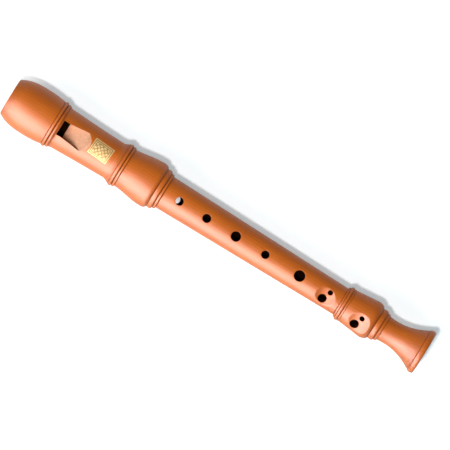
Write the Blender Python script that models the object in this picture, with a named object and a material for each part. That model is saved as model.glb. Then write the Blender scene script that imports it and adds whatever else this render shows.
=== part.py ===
"""Soprano recorder in three turned wooden pieces, lying on its back with its finger holes up.

The bore runs along +X, from the beak at -X to the bell at +X, and +Z is the front, where the
window and the finger holes are. The origin lies on the surface that the recorder rests on,
under the middle of its length. Every size is in metres and every angle in degrees.
"""
import math

import bmesh
import bpy
from mathutils import Matrix
from mathutils import Vector

# How finely round shapes are divided
SIDES = 40
HOLE_SIDES = 20
BEAD_STEPS = 6
CURVE_STEPS = 4
SHARP_ANGLE = 30.0

# Clearances between the pieces
SEAM_GAP = 0.0003
CORK_CLEARANCE = 0.00015
CORK_SEAT_GAP = 0.0002
TENON_CLEARANCE = 0.0003
BLOCK_CLEARANCE = 0.0001
CUT_OVERRUN = 0.003

# Head joint, barrel above the window and the two rings that end it
TIP_RADIUS = 0.0132
BARREL_RADIUS = 0.0175
BARREL_RISE_LENGTH = 0.0204
BARREL_RISE_POWER = 3.0
BARREL_FALL_LENGTH = 0.0131
BARREL_FALL_POWER = 2.0
BARREL_END_RADIUS = 0.0164
BARREL_RING_BASE_RADIUS = 0.0163
BARREL_RING_RADIUS = 0.01705
BARREL_RING_WIDTH = 0.0022
BARREL_RING_CREST_WIDTH = 0.0005
NECK_RING_BASE_RADIUS = 0.0157
NECK_RING_RADIUS = 0.01625
NECK_RING_WIDTH = 0.0018
NECK_STEP_LENGTH = 0.0023

# Head joint, waist that carries the window
WAIST_TOP_RADIUS = 0.01475
WAIST_END_RADIUS = 0.0135
WAIST_LENGTH = 0.0400
WAIST_FLARE_POWER = 1.3

# Head joint, rings and swelling round the socket
SWELL_COVE_LENGTH = 0.0041
SWELL_COVE_POWER = 1.5
SWELL_RING_BASE_RADIUS = 0.0152
SWELL_RING_RADIUS = 0.01585
SWELL_RING_WIDTH = 0.0023
SWELL_BAND_BASE_RADIUS = 0.0149
SWELL_BAND_RADIUS = 0.0153
SWELL_BAND_WIDTH = 0.0017
SWELL_START_RADIUS = 0.0143
SWELL_RADIUS = 0.0166
SWELL_RISE_LENGTH = 0.0197
SWELL_CREST_LENGTH = 0.0018
SWELL_FALL_LENGTH = 0.0036
SWELL_END_RADIUS = 0.0143
MOUTH_RING_RADIUS = 0.01475
MOUTH_RING_WIDTH = 0.0036
MOUTH_RING_END_RADIUS = 0.0136
MOUTH_STEP_RADIUS = 0.0133
MOUTH_STEP_LENGTH = 0.0009
MOUTH_EDGE_LENGTH = 0.0009
MOUTH_RADIUS = 0.0123
GROOVE_WIDTH = 0.0004
GROOVE_DEPTH = 0.0004
SHALLOW_GROOVE_DEPTH = 0.0002

# Head joint, inside
HEAD_BORE_RADIUS = 0.0068
HEAD_SOCKET_RADIUS = 0.0090
HEAD_SOCKET_DEPTH = 0.0240
LIP_CUT_RADIUS = 0.0330
LIP_CUT_PLACE = 0.0015
LIP_EDGE_HEIGHT = 0.0010

# Windway, window and ramp, with heights above the bore's axis
WINDWAY_WIDTH_AT_TIP = 0.0120
WINDWAY_WIDTH = 0.0106
WINDOW_WIDTH = 0.0109
WINDWAY_FLOOR_AT_TIP = 0.0060
WINDWAY_FLOOR_HEIGHT = 0.0062
WINDWAY_TALLNESS_AT_TIP = 0.0017
WINDWAY_TALLNESS = 0.0011
WINDOW_LEAD = 0.0016
WINDOW_LENGTH = 0.0046
LABIUM_HEIGHT = 0.0069
LABIUM_THICKNESS = 0.0002
RAMP_LENGTH = 0.0188
RAMP_FLARE = 0.107
UNDERCUT_LENGTH = 0.0060
UNDERCUT_INSET = 0.0002

# Middle joint
MIDDLE_LENGTH = 0.1377
MIDDLE_TOP_RADIUS = 0.0120
MIDDLE_END_RADIUS = 0.01015
MIDDLE_BORE_TOP_RADIUS = 0.0062
MIDDLE_BORE_END_RADIUS = 0.0044
UPPER_TENON_LENGTH = 0.0237
LOWER_TENON_LENGTH = 0.0103
CORK_THICKNESS = 0.0009
UPPER_CORK_LENGTH = 0.0160
LOWER_CORK_LENGTH = 0.0058
CORK_CHAMFER = 0.0002
EDGE_CHAMFER = 0.0003

# Foot joint, outside
FOOT_MOUTH_RADIUS = 0.0108
FOOT_EDGE_LENGTH = 0.0012
FOOT_EDGE_RADIUS = 0.0115
FOOT_RING_BASE_RADIUS = 0.0120
FOOT_RING_RADIUS = 0.0126
FOOT_RING_WIDTH = 0.0021
FOOT_BAND_RADIUS = 0.0122
FOOT_BAND_LENGTH = 0.0010
BULB_START_RADIUS = 0.0120
BULB_RADIUS = 0.0137
BULB_LENGTH = 0.0166
BULB_FALL_LENGTH = 0.0052
BULB_END_RADIUS = 0.0109
LOWER_RING_RADIUS = 0.01135
LOWER_RING_WIDTH = 0.0038
LOWER_RING_END_RADIUS = 0.0106
LOWER_STEP_RADIUS = 0.0103
LOWER_STEP_LENGTH = 0.0018
LOWER_STEP_END_RADIUS = 0.0098
STEM_START_RADIUS = 0.0090
STEM_RADIUS = 0.0087
STEM_LENGTH = 0.0061
STEM_EASE_POWER = 2.0
BELL_LENGTH = 0.0211
BELL_RADIUS = 0.0151
BELL_FLARE_POWER = 1.95
RIM_WIDTH = 0.0042
RIM_RADIUS = 0.0161
RIM_CREST_WIDTH = 0.0008
FOOT_FACE_RADIUS = 0.0150

# Foot joint, inside
FOOT_SOCKET_RADIUS = 0.0075
FOOT_SOCKET_DEPTH = 0.0107
FOOT_BORE_RADIUS = 0.0044
FOOT_BORE_END_RADIUS = 0.0051

# Finger holes: distance from the middle joint's upper shoulder, angle from the front, radius
FIRST_HOLE_PLACE = 0.0114
SECOND_HOLE_PLACE = 0.0328
THIRD_HOLE_PLACE = 0.0556
FOURTH_HOLE_PLACE = 0.0787
FIFTH_HOLE_PLACE = 0.1055
SIXTH_HOLE_PLACE = 0.1261
FIRST_HOLE_RADIUS = 0.0028
SECOND_HOLE_RADIUS = 0.00295
THIRD_HOLE_RADIUS = 0.0034
FOURTH_HOLE_RADIUS = 0.00275
FIFTH_HOLE_RADIUS = 0.0038
SIXTH_HOLE_RADIUS = 0.00295
SIXTH_HOLE_ANGLE = 33.0
SIXTH_HALF_HOLE_STEP = 0.0028
SIXTH_HALF_HOLE_RADIUS = 0.00175
SIXTH_HALF_HOLE_ANGLE = -8.0
SIXTH_HALF_HOLE_LEAN = 8.0
THUMB_HOLE_PLACE = 0.0086
THUMB_HOLE_RADIUS = 0.0028
BACK_ANGLE = 180.0

# The seventh holes lie on the foot joint, measured from its mouth
SEVENTH_HOLE_PLACE = 0.0152
SEVENTH_HOLE_RADIUS = 0.00305
SEVENTH_HOLE_ANGLE = 44.0
SEVENTH_HALF_HOLE_STEP = 0.0027
SEVENTH_HALF_HOLE_RADIUS = 0.0018
SEVENTH_HALF_HOLE_ANGLE = 12.0
SEVENTH_HALF_HOLE_LEAN = 12.0

# Scooped dishes round the double holes, each cut by a drum that lies across the bore
SIXTH_DISH_DEPTH = 0.0020
SIXTH_DISH_DRUM_RADIUS = 0.0130
SIXTH_DISH_ANGLE = 17.0
SEVENTH_DISH_DEPTH = 0.00205
SEVENTH_DISH_DRUM_RADIUS = 0.0155
SEVENTH_DISH_ANGLE = 29.0


class Turning:
    """The outline of a turned piece, drawn along the axis as points of place and radius."""

    def __init__(self, place, radius):
        self.points = [(place, radius)]

    def place(self):
        """Where the outline has got to along the axis."""
        return self.points[-1][0]

    def radius(self):
        """The radius that the outline has got to."""
        return self.points[-1][1]

    def line(self, length, radius):
        """Draw a straight stretch."""
        self.points.append((self.place() + length, radius))

    def shape(self, length, radius, steps, along, rise):
        """Draw a curve from two functions that both run from 0 to 1."""
        start = self.place()
        low = self.radius()
        for step in range(1, steps + 1):
            share = step / steps
            self.points.append((start + length * along(share), low + (radius - low) * rise(share)))

    def round_over(self, length, radius, steps=CURVE_STEPS):
        """Draw a quarter round that starts steep and ends level."""
        self.shape(length, radius, steps, lambda share: 1.0 - math.cos(share * math.pi / 2),
                   lambda share: math.sin(share * math.pi / 2))

    def cove(self, length, radius, steps=CURVE_STEPS):
        """Draw a quarter round that starts level and ends steep."""
        self.shape(length, radius, steps, lambda share: math.sin(share * math.pi / 2),
                   lambda share: 1.0 - math.cos(share * math.pi / 2))

    def ogee(self, length, radius, steps=CURVE_STEPS + 2):
        """Draw an S curve that is level at both ends."""
        self.shape(length, radius, steps, lambda share: share,
                   lambda share: share * share * (3.0 - 2.0 * share))

    def flare(self, length, radius, power, steps=CURVE_STEPS + 2):
        """Draw a curve that starts level and grows by a power of the distance."""
        self.shape(length, radius, steps, lambda share: share, lambda share: share ** power)

    def ease(self, length, radius, power, steps=CURVE_STEPS):
        """Draw a curve that ends level, the flare's opposite."""
        self.shape(length, radius, steps, lambda share: share,
                   lambda share: 1.0 - (1.0 - share) ** power)

    def bead(self, width, peak_radius, end_radius, crest_width=0.0, steps=BEAD_STEPS):
        """Draw a ring with a half round section, worn flat over the width of its crest."""
        start = self.place()
        low = self.radius()
        for step in range(1, steps + 1):
            angle = math.pi * step / steps
            share = (1.0 - math.cos(angle)) / 2
            base = low + (end_radius - low) * share
            rise = (peak_radius - base) * math.sin(angle)
            place = start + width * share
            if crest_width and 2 * step == steps:
                self.points.append((place - crest_width / 2, base + rise))
                self.points.append((place + crest_width / 2, base + rise))
            else:
                self.points.append((place, base + rise))

    def groove(self, bottom_drop, end_radius):
        """Draw the narrow V that sets off a ring."""
        self.line(GROOVE_WIDTH / 2, min(self.radius(), end_radius) - bottom_drop)
        self.line(GROOVE_WIDTH / 2, end_radius)


def clear_scene():
    """Remove every object that the file starts with."""
    for thing in list(bpy.data.objects):
        bpy.data.objects.remove(thing, do_unlink=True)


def finish(name, colour, roughness):
    """Make a plain Principled material."""
    material = bpy.data.materials.new(name)
    material.use_nodes = True
    shader = material.node_tree.nodes["Principled BSDF"]
    shader.inputs["Base Color"].default_value = (*colour, 1.0)
    shader.inputs["Roughness"].default_value = roughness
    shader.inputs["Metallic"].default_value = 0.0
    return material


def add_object(name, shape, material, parent, place=0.0):
    """Turn a bmesh into an object at a place along the bore's axis."""
    bmesh.ops.recalc_face_normals(shape, faces=shape.faces)
    mesh = bpy.data.meshes.new(name)
    shape.to_mesh(mesh)
    shape.free()
    mesh.shade_smooth()
    mesh.set_sharp_from_angle(angle=math.radians(SHARP_ANGLE))
    if material:
        mesh.materials.append(material)
    thing = bpy.data.objects.new(name, mesh)
    bpy.context.collection.objects.link(thing)
    thing.parent = parent
    thing.location = (place, 0.0, 0.0)
    return thing


def turned_shape(outline):
    """Spin a closed outline of place and radius round the X axis."""
    shape = bmesh.new()
    half_side = math.pi / SIDES
    corners = []
    for place, radius in outline:
        side = radius * math.sin(half_side)
        corners.append(shape.verts.new((place, side, radius * math.cos(half_side))))
    edges = []
    for first, second in zip(corners, corners[1:] + corners[:1]):
        edges.append(shape.edges.new((first, second)))
    bmesh.ops.spin(shape, geom=corners + edges, cent=(0.0, 0.0, 0.0), axis=(1.0, 0.0, 0.0),
                   angle=2.0 * math.pi, steps=SIDES, use_merge=True)
    return shape


def drum_shape(radius, length, sides):
    """Make a capped cylinder along Z, centred."""
    shape = bmesh.new()
    bmesh.ops.create_cone(shape, cap_ends=True, segments=sides, radius1=radius, radius2=radius,
                          depth=length)
    return shape


def wedge_shape(start, end, start_width, end_width, start_heights, end_heights):
    """Make a six-sided block along X whose two ends differ in width, floor and roof."""
    shape = bmesh.new()
    rings = []
    for place, width, heights in ((start, start_width, start_heights), (end, end_width, end_heights)):
        floor, roof = heights
        half = width / 2
        ring = []
        for side, height in ((-half, floor), (half, floor), (half, roof), (-half, roof)):
            ring.append(shape.verts.new((place, side, height)))
        rings.append(ring)
    shape.faces.new(rings[0])
    shape.faces.new(rings[1])
    for index in range(4):
        after = (index + 1) % 4
        shape.faces.new((rings[0][index], rings[0][after], rings[1][after], rings[1][index]))
    return shape


def combine(piece, name, shape, operation="DIFFERENCE"):
    """Hide a shape as a cutter and apply it to a piece with a Boolean modifier."""
    tool = add_object(name, shape, None, piece)
    tool.hide_render = True
    tool.display_type = "WIRE"
    modifier = piece.modifiers.new(name, "BOOLEAN")
    modifier.operation = operation
    modifier.solver = "EXACT"
    modifier.object = tool
    return tool


def drill(piece, name, place, radius, angle, surface_radius, lean=0.0):
    """Drill a hole through one wall, at an angle from the front towards -Y."""
    length = surface_radius + CUT_OVERRUN
    shape = drum_shape(radius, length, HOLE_SIDES)
    bmesh.ops.translate(shape, vec=(0.0, 0.0, length / 2 - surface_radius), verts=shape.verts)
    tool = combine(piece, name, shape)
    turn = math.radians(angle)
    tool.location = (place, -surface_radius * math.sin(turn), surface_radius * math.cos(turn))
    tool.rotation_euler = (turn + math.radians(lean), 0.0, 0.0)


def scoop(piece, name, place, angle, surface_radius, depth, drum_radius):
    """Scoop a shallow dish with a drum that lies across the bore."""
    shape = drum_shape(drum_radius, 4.0 * surface_radius, SIDES)
    bmesh.ops.rotate(shape, cent=(0.0, 0.0, 0.0), matrix=Matrix.Rotation(math.pi / 2, 3, "X"),
                     verts=shape.verts)
    lift = surface_radius - depth + drum_radius
    bmesh.ops.translate(shape, vec=Vector((0.0, 0.0, lift)), verts=shape.verts)
    tool = combine(piece, name, shape)
    tool.location = (place, 0.0, 0.0)
    tool.rotation_euler = (math.radians(angle), 0.0, 0.0)


def between(start, end, share):
    """Find a value part of the way from one to another."""
    return start + (end - start) * share


def waist_radius(distance):
    """Find the head joint's outer radius at a distance below the top of its waist."""
    share = (1.0 - distance / WAIST_LENGTH) ** WAIST_FLARE_POWER
    return between(WAIST_END_RADIUS, WAIST_TOP_RADIUS, share)


def head_outline():
    """Draw the head joint's outside from the beak's tip at 0, and say where its waist starts."""
    line = Turning(0.0, TIP_RADIUS)
    line.ease(BARREL_RISE_LENGTH, BARREL_RADIUS, BARREL_RISE_POWER, CURVE_STEPS + 2)
    line.flare(BARREL_FALL_LENGTH, BARREL_END_RADIUS, BARREL_FALL_POWER, CURVE_STEPS - 1)
    line.groove(SHALLOW_GROOVE_DEPTH, BARREL_RING_BASE_RADIUS)
    line.bead(BARREL_RING_WIDTH, BARREL_RING_RADIUS, BARREL_RING_BASE_RADIUS,
              BARREL_RING_CREST_WIDTH)
    line.groove(GROOVE_DEPTH, NECK_RING_BASE_RADIUS)
    line.bead(NECK_RING_WIDTH, NECK_RING_RADIUS, NECK_RING_BASE_RADIUS)
    line.groove(SHALLOW_GROOVE_DEPTH, NECK_RING_BASE_RADIUS)
    line.round_over(NECK_STEP_LENGTH, WAIST_TOP_RADIUS)
    waist_place = line.place()
    line.ease(WAIST_LENGTH, WAIST_END_RADIUS, WAIST_FLARE_POWER)
    line.flare(SWELL_COVE_LENGTH, SWELL_RING_BASE_RADIUS, SWELL_COVE_POWER, CURVE_STEPS)
    line.groove(SHALLOW_GROOVE_DEPTH, SWELL_RING_BASE_RADIUS)
    line.bead(SWELL_RING_WIDTH, SWELL_RING_RADIUS, SWELL_RING_BASE_RADIUS)
    line.groove(GROOVE_DEPTH, SWELL_BAND_BASE_RADIUS)
    line.bead(SWELL_BAND_WIDTH, SWELL_BAND_RADIUS, SWELL_BAND_BASE_RADIUS)
    line.groove(GROOVE_DEPTH, SWELL_START_RADIUS)
    line.ogee(SWELL_RISE_LENGTH, SWELL_RADIUS)
    line.line(SWELL_CREST_LENGTH, SWELL_RADIUS)
    line.cove(SWELL_FALL_LENGTH, SWELL_END_RADIUS)
    line.bead(MOUTH_RING_WIDTH, MOUTH_RING_RADIUS, MOUTH_RING_END_RADIUS)
    line.groove(GROOVE_DEPTH, MOUTH_STEP_RADIUS)
    line.line(MOUTH_STEP_LENGTH, MOUTH_STEP_RADIUS)
    line.cove(MOUTH_EDGE_LENGTH, MOUTH_RADIUS)
    return line, waist_place


def build_head(parent, wood, outside, window_start):
    """Make the head joint, with its origin on the axis at its open end."""
    length = outside.place()
    socket_place = length - HEAD_SOCKET_DEPTH
    inside = Turning(length, HEAD_SOCKET_RADIUS + EDGE_CHAMFER)
    inside.line(-EDGE_CHAMFER, HEAD_SOCKET_RADIUS)
    inside.line(socket_place - inside.place(), HEAD_SOCKET_RADIUS)
    inside.line(0.0, HEAD_BORE_RADIUS)
    inside.line(-socket_place, HEAD_BORE_RADIUS)
    outline = []
    for place, radius in outside.points + inside.points:
        outline.append((place - length, radius))
    head = add_object("head_joint", turned_shape(outline), wood, parent, length)

    tip = -length
    window_start += tip
    labium = window_start + WINDOW_LENGTH
    roof_at_tip = WINDWAY_FLOOR_AT_TIP + WINDWAY_TALLNESS_AT_TIP
    roof_at_window = WINDWAY_FLOOR_HEIGHT + WINDWAY_TALLNESS
    windway_length = window_start - tip
    overrun_share = CUT_OVERRUN / windway_length
    windway = wedge_shape(
        tip - CUT_OVERRUN, window_start + WINDOW_LENGTH / 2,
        between(WINDWAY_WIDTH, WINDWAY_WIDTH_AT_TIP, 1.0 + overrun_share),
        between(WINDWAY_WIDTH, WINDWAY_WIDTH_AT_TIP, -WINDOW_LENGTH / 2 / windway_length),
        (0.0, between(roof_at_window, roof_at_tip, 1.0 + overrun_share)),
        (0.0, between(roof_at_window, roof_at_tip, -WINDOW_LENGTH / 2 / windway_length)))
    combine(head, "windway_cutter", windway)

    undercut_height = LABIUM_HEIGHT - LABIUM_THICKNESS
    undercut_width = WINDOW_WIDTH - 2 * UNDERCUT_INSET
    combine(head, "undercut_cutter", wedge_shape(
        window_start - CUT_OVERRUN, labium + UNDERCUT_LENGTH, undercut_width, undercut_width,
        (0.0, undercut_height), (0.0, undercut_height)))

    top = BARREL_RADIUS + CUT_OVERRUN
    combine(head, "window_cutter", wedge_shape(
        window_start, labium, WINDOW_WIDTH, WINDOW_WIDTH,
        (HEAD_BORE_RADIUS / 2, top), (HEAD_BORE_RADIUS / 2, top)))

    ramp_rise = waist_radius(WINDOW_LENGTH + RAMP_LENGTH - WINDOW_LEAD) - LABIUM_HEIGHT
    slope = ramp_rise / RAMP_LENGTH
    ramp_back = WINDOW_LENGTH / 2
    ramp_front = RAMP_LENGTH + CUT_OVERRUN
    combine(head, "ramp_cutter", wedge_shape(
        labium - ramp_back, labium + ramp_front,
        WINDOW_WIDTH - 2 * ramp_back * RAMP_FLARE, WINDOW_WIDTH + 2 * ramp_front * RAMP_FLARE,
        (LABIUM_HEIGHT - ramp_back * slope, top), (LABIUM_HEIGHT + ramp_front * slope, top)))
    combine(head, "lip_cutter", lip_shape(tip))


def lip_shape(tip):
    """Make the big drum that hollows the underside of the beak."""
    shape = drum_shape(LIP_CUT_RADIUS, 4 * BARREL_RADIUS, 3 * SIDES)
    turn = Matrix.Rotation(math.pi / 2, 3, "X")
    bmesh.ops.rotate(shape, cent=(0.0, 0.0, 0.0), matrix=turn, verts=shape.verts)
    drop = math.sqrt(LIP_CUT_RADIUS ** 2 - LIP_CUT_PLACE ** 2) - LIP_EDGE_HEIGHT
    bmesh.ops.translate(shape, vec=(tip + LIP_CUT_PLACE, 0.0, -drop), verts=shape.verts)
    return shape


def build_block(parent, cedar, head_length, length):
    """Make the block that fills the beak and carries the windway's floor."""
    tip = -head_length
    end = tip + length
    shape = drum_shape(HEAD_BORE_RADIUS - BLOCK_CLEARANCE, length, SIDES)
    bmesh.ops.rotate(shape, cent=(0.0, 0.0, 0.0), matrix=Matrix.Rotation(math.pi / SIDES, 3, "Z"),
                     verts=shape.verts)
    bmesh.ops.rotate(shape, cent=(0.0, 0.0, 0.0), matrix=Matrix.Rotation(math.pi / 2, 3, "Y"),
                     verts=shape.verts)
    bmesh.ops.translate(shape, vec=((tip + end) / 2, 0.0, 0.0), verts=shape.verts)
    block = add_object("block", shape, cedar, parent, head_length)

    top = HEAD_BORE_RADIUS + CUT_OVERRUN
    combine(block, "floor_cutter", wedge_shape(
        tip - CUT_OVERRUN, end + CUT_OVERRUN, 4 * HEAD_BORE_RADIUS, 4 * HEAD_BORE_RADIUS,
        (WINDWAY_FLOOR_AT_TIP / 2, top), (WINDWAY_FLOOR_HEIGHT / 2, top)))
    combine(block, "saddle", wedge_shape(
        tip, end, WINDWAY_WIDTH_AT_TIP - 2 * BLOCK_CLEARANCE, WINDWAY_WIDTH - 2 * BLOCK_CLEARANCE,
        (0.0, WINDWAY_FLOOR_AT_TIP), (0.0, WINDWAY_FLOOR_HEIGHT)), "UNION")
    combine(block, "block_lip_cutter", lip_shape(tip))


def tenon_points(length, radius, cork_length, direction):
    """List a tenon's outline from its shoulder outwards, with the recess that holds its cork."""
    recess = radius - CORK_THICKNESS
    land = (length - cork_length) / 2 - CORK_SEAT_GAP
    return (
        (0.0, radius),
        (direction * land, radius),
        (direction * land, recess),
        (direction * (length - land), recess),
        (direction * (length - land), radius),
        (direction * (length - EDGE_CHAMFER), radius),
        (direction * length, radius - EDGE_CHAMFER),
    )


def middle_radius(place):
    """Find the middle joint's outer radius at a distance below its upper shoulder."""
    return between(MIDDLE_TOP_RADIUS, MIDDLE_END_RADIUS, place / MIDDLE_LENGTH)


def build_middle(parent, wood, place):
    """Make the middle joint, with its origin on the axis at its upper shoulder."""
    upper_radius = HEAD_SOCKET_RADIUS - TENON_CLEARANCE
    lower_radius = FOOT_SOCKET_RADIUS - TENON_CLEARANCE
    upper = tenon_points(UPPER_TENON_LENGTH, upper_radius, UPPER_CORK_LENGTH, -1.0)
    lower = tenon_points(LOWER_TENON_LENGTH, lower_radius, LOWER_CORK_LENGTH, 1.0)
    outline = list(reversed(upper))
    outline.append((0.0, MIDDLE_TOP_RADIUS - EDGE_CHAMFER / 2))
    outline.append((EDGE_CHAMFER, middle_radius(EDGE_CHAMFER)))
    outline.append((MIDDLE_LENGTH - EDGE_CHAMFER, middle_radius(MIDDLE_LENGTH - EDGE_CHAMFER)))
    outline.append((MIDDLE_LENGTH, MIDDLE_END_RADIUS - EDGE_CHAMFER / 2))
    for step, radius in lower:
        outline.append((MIDDLE_LENGTH + step, radius))
    outline.append((MIDDLE_LENGTH + LOWER_TENON_LENGTH, MIDDLE_BORE_END_RADIUS))
    outline.append((-UPPER_TENON_LENGTH, MIDDLE_BORE_TOP_RADIUS))
    middle = add_object("middle_joint", turned_shape(outline), wood, parent, place)

    half_hole_place = SIXTH_HOLE_PLACE + SIXTH_HALF_HOLE_STEP
    dish_place = (SIXTH_HOLE_PLACE + half_hole_place) / 2
    scoop(middle, "sixth_dish_cutter", dish_place, SIXTH_DISH_ANGLE, middle_radius(dish_place),
          SIXTH_DISH_DEPTH, SIXTH_DISH_DRUM_RADIUS)
    holes = (
        ("first_hole_cutter", FIRST_HOLE_PLACE, FIRST_HOLE_RADIUS, 0.0, 0.0),
        ("second_hole_cutter", SECOND_HOLE_PLACE, SECOND_HOLE_RADIUS, 0.0, 0.0),
        ("third_hole_cutter", THIRD_HOLE_PLACE, THIRD_HOLE_RADIUS, 0.0, 0.0),
        ("fourth_hole_cutter", FOURTH_HOLE_PLACE, FOURTH_HOLE_RADIUS, 0.0, 0.0),
        ("fifth_hole_cutter", FIFTH_HOLE_PLACE, FIFTH_HOLE_RADIUS, 0.0, 0.0),
        ("sixth_hole_cutter", SIXTH_HOLE_PLACE, SIXTH_HOLE_RADIUS, SIXTH_HOLE_ANGLE, 0.0),
        ("sixth_half_hole_cutter", half_hole_place, SIXTH_HALF_HOLE_RADIUS, SIXTH_HALF_HOLE_ANGLE,
         SIXTH_HALF_HOLE_LEAN),
        ("thumb_hole_cutter", THUMB_HOLE_PLACE, THUMB_HOLE_RADIUS, BACK_ANGLE, 0.0),
    )
    for name, hole_place, radius, angle, lean in holes:
        drill(middle, name, hole_place, radius, angle, middle_radius(hole_place), lean)


def build_cork(name, parent, material, place, socket_radius, tenon_length, length, direction):
    """Make the cork sleeve that fills a tenon's recess."""
    tenon_radius = socket_radius - TENON_CLEARANCE
    outer = socket_radius - CORK_CLEARANCE
    inner = tenon_radius - CORK_THICKNESS + CORK_SEAT_GAP
    centre = direction * tenon_length / 2
    start = centre - length / 2
    end = centre + length / 2
    outline = (
        (start, inner),
        (start, outer - CORK_CHAMFER),
        (start + CORK_CHAMFER, outer),
        (end - CORK_CHAMFER, outer),
        (end, outer - CORK_CHAMFER),
        (end, inner),
    )
    add_object(name, turned_shape(outline), material, parent, place)


def foot_outline():
    """Draw the foot joint's outside from its mouth, and say where its bulb starts."""
    line = Turning(0.0, FOOT_MOUTH_RADIUS)
    line.round_over(FOOT_EDGE_LENGTH, FOOT_EDGE_RADIUS, CURVE_STEPS - 1)
    line.groove(SHALLOW_GROOVE_DEPTH, FOOT_RING_BASE_RADIUS)
    line.bead(FOOT_RING_WIDTH, FOOT_RING_RADIUS, FOOT_RING_BASE_RADIUS)
    line.groove(SHALLOW_GROOVE_DEPTH, FOOT_BAND_RADIUS)
    line.line(FOOT_BAND_LENGTH, FOOT_BAND_RADIUS)
    line.groove(SHALLOW_GROOVE_DEPTH, BULB_START_RADIUS)
    bulb_place = line.place()
    line.line(BULB_LENGTH, BULB_RADIUS)
    line.cove(BULB_FALL_LENGTH, BULB_END_RADIUS, CURVE_STEPS + 1)
    line.bead(LOWER_RING_WIDTH, LOWER_RING_RADIUS, LOWER_RING_END_RADIUS)
    line.groove(GROOVE_DEPTH, LOWER_STEP_RADIUS)
    line.line(LOWER_STEP_LENGTH, LOWER_STEP_END_RADIUS)
    line.groove(SHALLOW_GROOVE_DEPTH, STEM_START_RADIUS)
    line.ease(STEM_LENGTH, STEM_RADIUS, STEM_EASE_POWER, CURVE_STEPS - 2)
    line.flare(BELL_LENGTH, BELL_RADIUS, BELL_FLARE_POWER)
    line.groove(SHALLOW_GROOVE_DEPTH, BELL_RADIUS)
    line.bead(RIM_WIDTH, RIM_RADIUS, FOOT_FACE_RADIUS, RIM_CREST_WIDTH)
    return line, bulb_place


def build_foot(parent, wood, place):
    """Make the foot joint, with its origin on the axis at its mouth, and say how long it is."""
    outside, bulb_place = foot_outline()
    length = outside.place()
    outline = list(outside.points)
    outline.append((length, FOOT_BORE_END_RADIUS + EDGE_CHAMFER))
    outline.append((length - EDGE_CHAMFER, FOOT_BORE_END_RADIUS))
    outline.append((FOOT_SOCKET_DEPTH, FOOT_BORE_RADIUS))
    outline.append((FOOT_SOCKET_DEPTH, FOOT_SOCKET_RADIUS))
    outline.append((EDGE_CHAMFER, FOOT_SOCKET_RADIUS))
    outline.append((0.0, FOOT_SOCKET_RADIUS + EDGE_CHAMFER))
    foot = add_object("foot_joint", turned_shape(outline), wood, parent, place)

    half_hole_place = SEVENTH_HOLE_PLACE + SEVENTH_HALF_HOLE_STEP
    dish_place = (SEVENTH_HOLE_PLACE + half_hole_place) / 2
    holes = (
        ("seventh_hole_cutter", SEVENTH_HOLE_PLACE, SEVENTH_HOLE_RADIUS, SEVENTH_HOLE_ANGLE, 0.0),
        ("seventh_half_hole_cutter", half_hole_place, SEVENTH_HALF_HOLE_RADIUS, SEVENTH_HALF_HOLE_ANGLE,
         SEVENTH_HALF_HOLE_LEAN),
    )
    surface = between(BULB_START_RADIUS, BULB_RADIUS, (dish_place - bulb_place) / BULB_LENGTH)
    scoop(foot, "seventh_dish_cutter", dish_place, SEVENTH_DISH_ANGLE, surface,
          SEVENTH_DISH_DEPTH, SEVENTH_DISH_DRUM_RADIUS)
    for name, hole_place, radius, angle, lean in holes:
        surface = between(BULB_START_RADIUS, BULB_RADIUS, (hole_place - bulb_place) / BULB_LENGTH)
        drill(foot, name, hole_place, radius, angle, surface, lean)
    return length


def main():
    """Build the recorder and stand its axis at the height where its barrel ring rests."""
    clear_scene()
    pearwood = finish("stained_pearwood", (0.62, 0.25, 0.08), 0.38)
    cedar = finish("cedar", (0.55, 0.30, 0.17), 0.6)
    cork = finish("tenon_cork", (0.52, 0.36, 0.21), 0.85)

    bore_axis = bpy.data.objects.new("bore_axis", None)
    bpy.context.collection.objects.link(bore_axis)

    head_line, waist_place = head_outline()
    head_length = head_line.place()
    window_start = waist_place - WINDOW_LEAD
    middle_place = head_length + SEAM_GAP
    foot_place = middle_place + MIDDLE_LENGTH + SEAM_GAP
    build_head(bore_axis, pearwood, head_line, window_start)
    build_block(bore_axis, cedar, head_length, window_start)
    build_middle(bore_axis, pearwood, middle_place)
    total = foot_place + build_foot(bore_axis, pearwood, foot_place)
    build_cork("upper_tenon_cork", bore_axis, cork, middle_place, HEAD_SOCKET_RADIUS,
               UPPER_TENON_LENGTH, UPPER_CORK_LENGTH, -1.0)
    build_cork("lower_tenon_cork", bore_axis, cork, middle_place + MIDDLE_LENGTH, FOOT_SOCKET_RADIUS,
               LOWER_TENON_LENGTH, LOWER_CORK_LENGTH, 1.0)

    rest_height = BARREL_RING_RADIUS * math.cos(math.pi / SIDES)
    bore_axis.location = (-total / 2, 0.0, rest_height)
    print("length", round(total, 5), "axis height", round(rest_height, 5))


if __name__ == "__main__":
    main()
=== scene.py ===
"""Looks of a three-piece wooden soprano recorder, lying on its back on a white studio sweep.

Sizes inside the classes are in millimetres. A piece's own frame has X along the bore from the
beak to the bell, Z out of the front, where the window and finger holes are, and its axis at
Y = Z = 0. Angles round the bore are in degrees from the front towards -Y.
"""
from __future__ import annotations

import logging
import math
from collections.abc import Callable, Sequence
from dataclasses import dataclass, field
from enum import Enum
from functools import partial

import bpy
import numpy as np
from mathutils import Matrix, Vector

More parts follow.
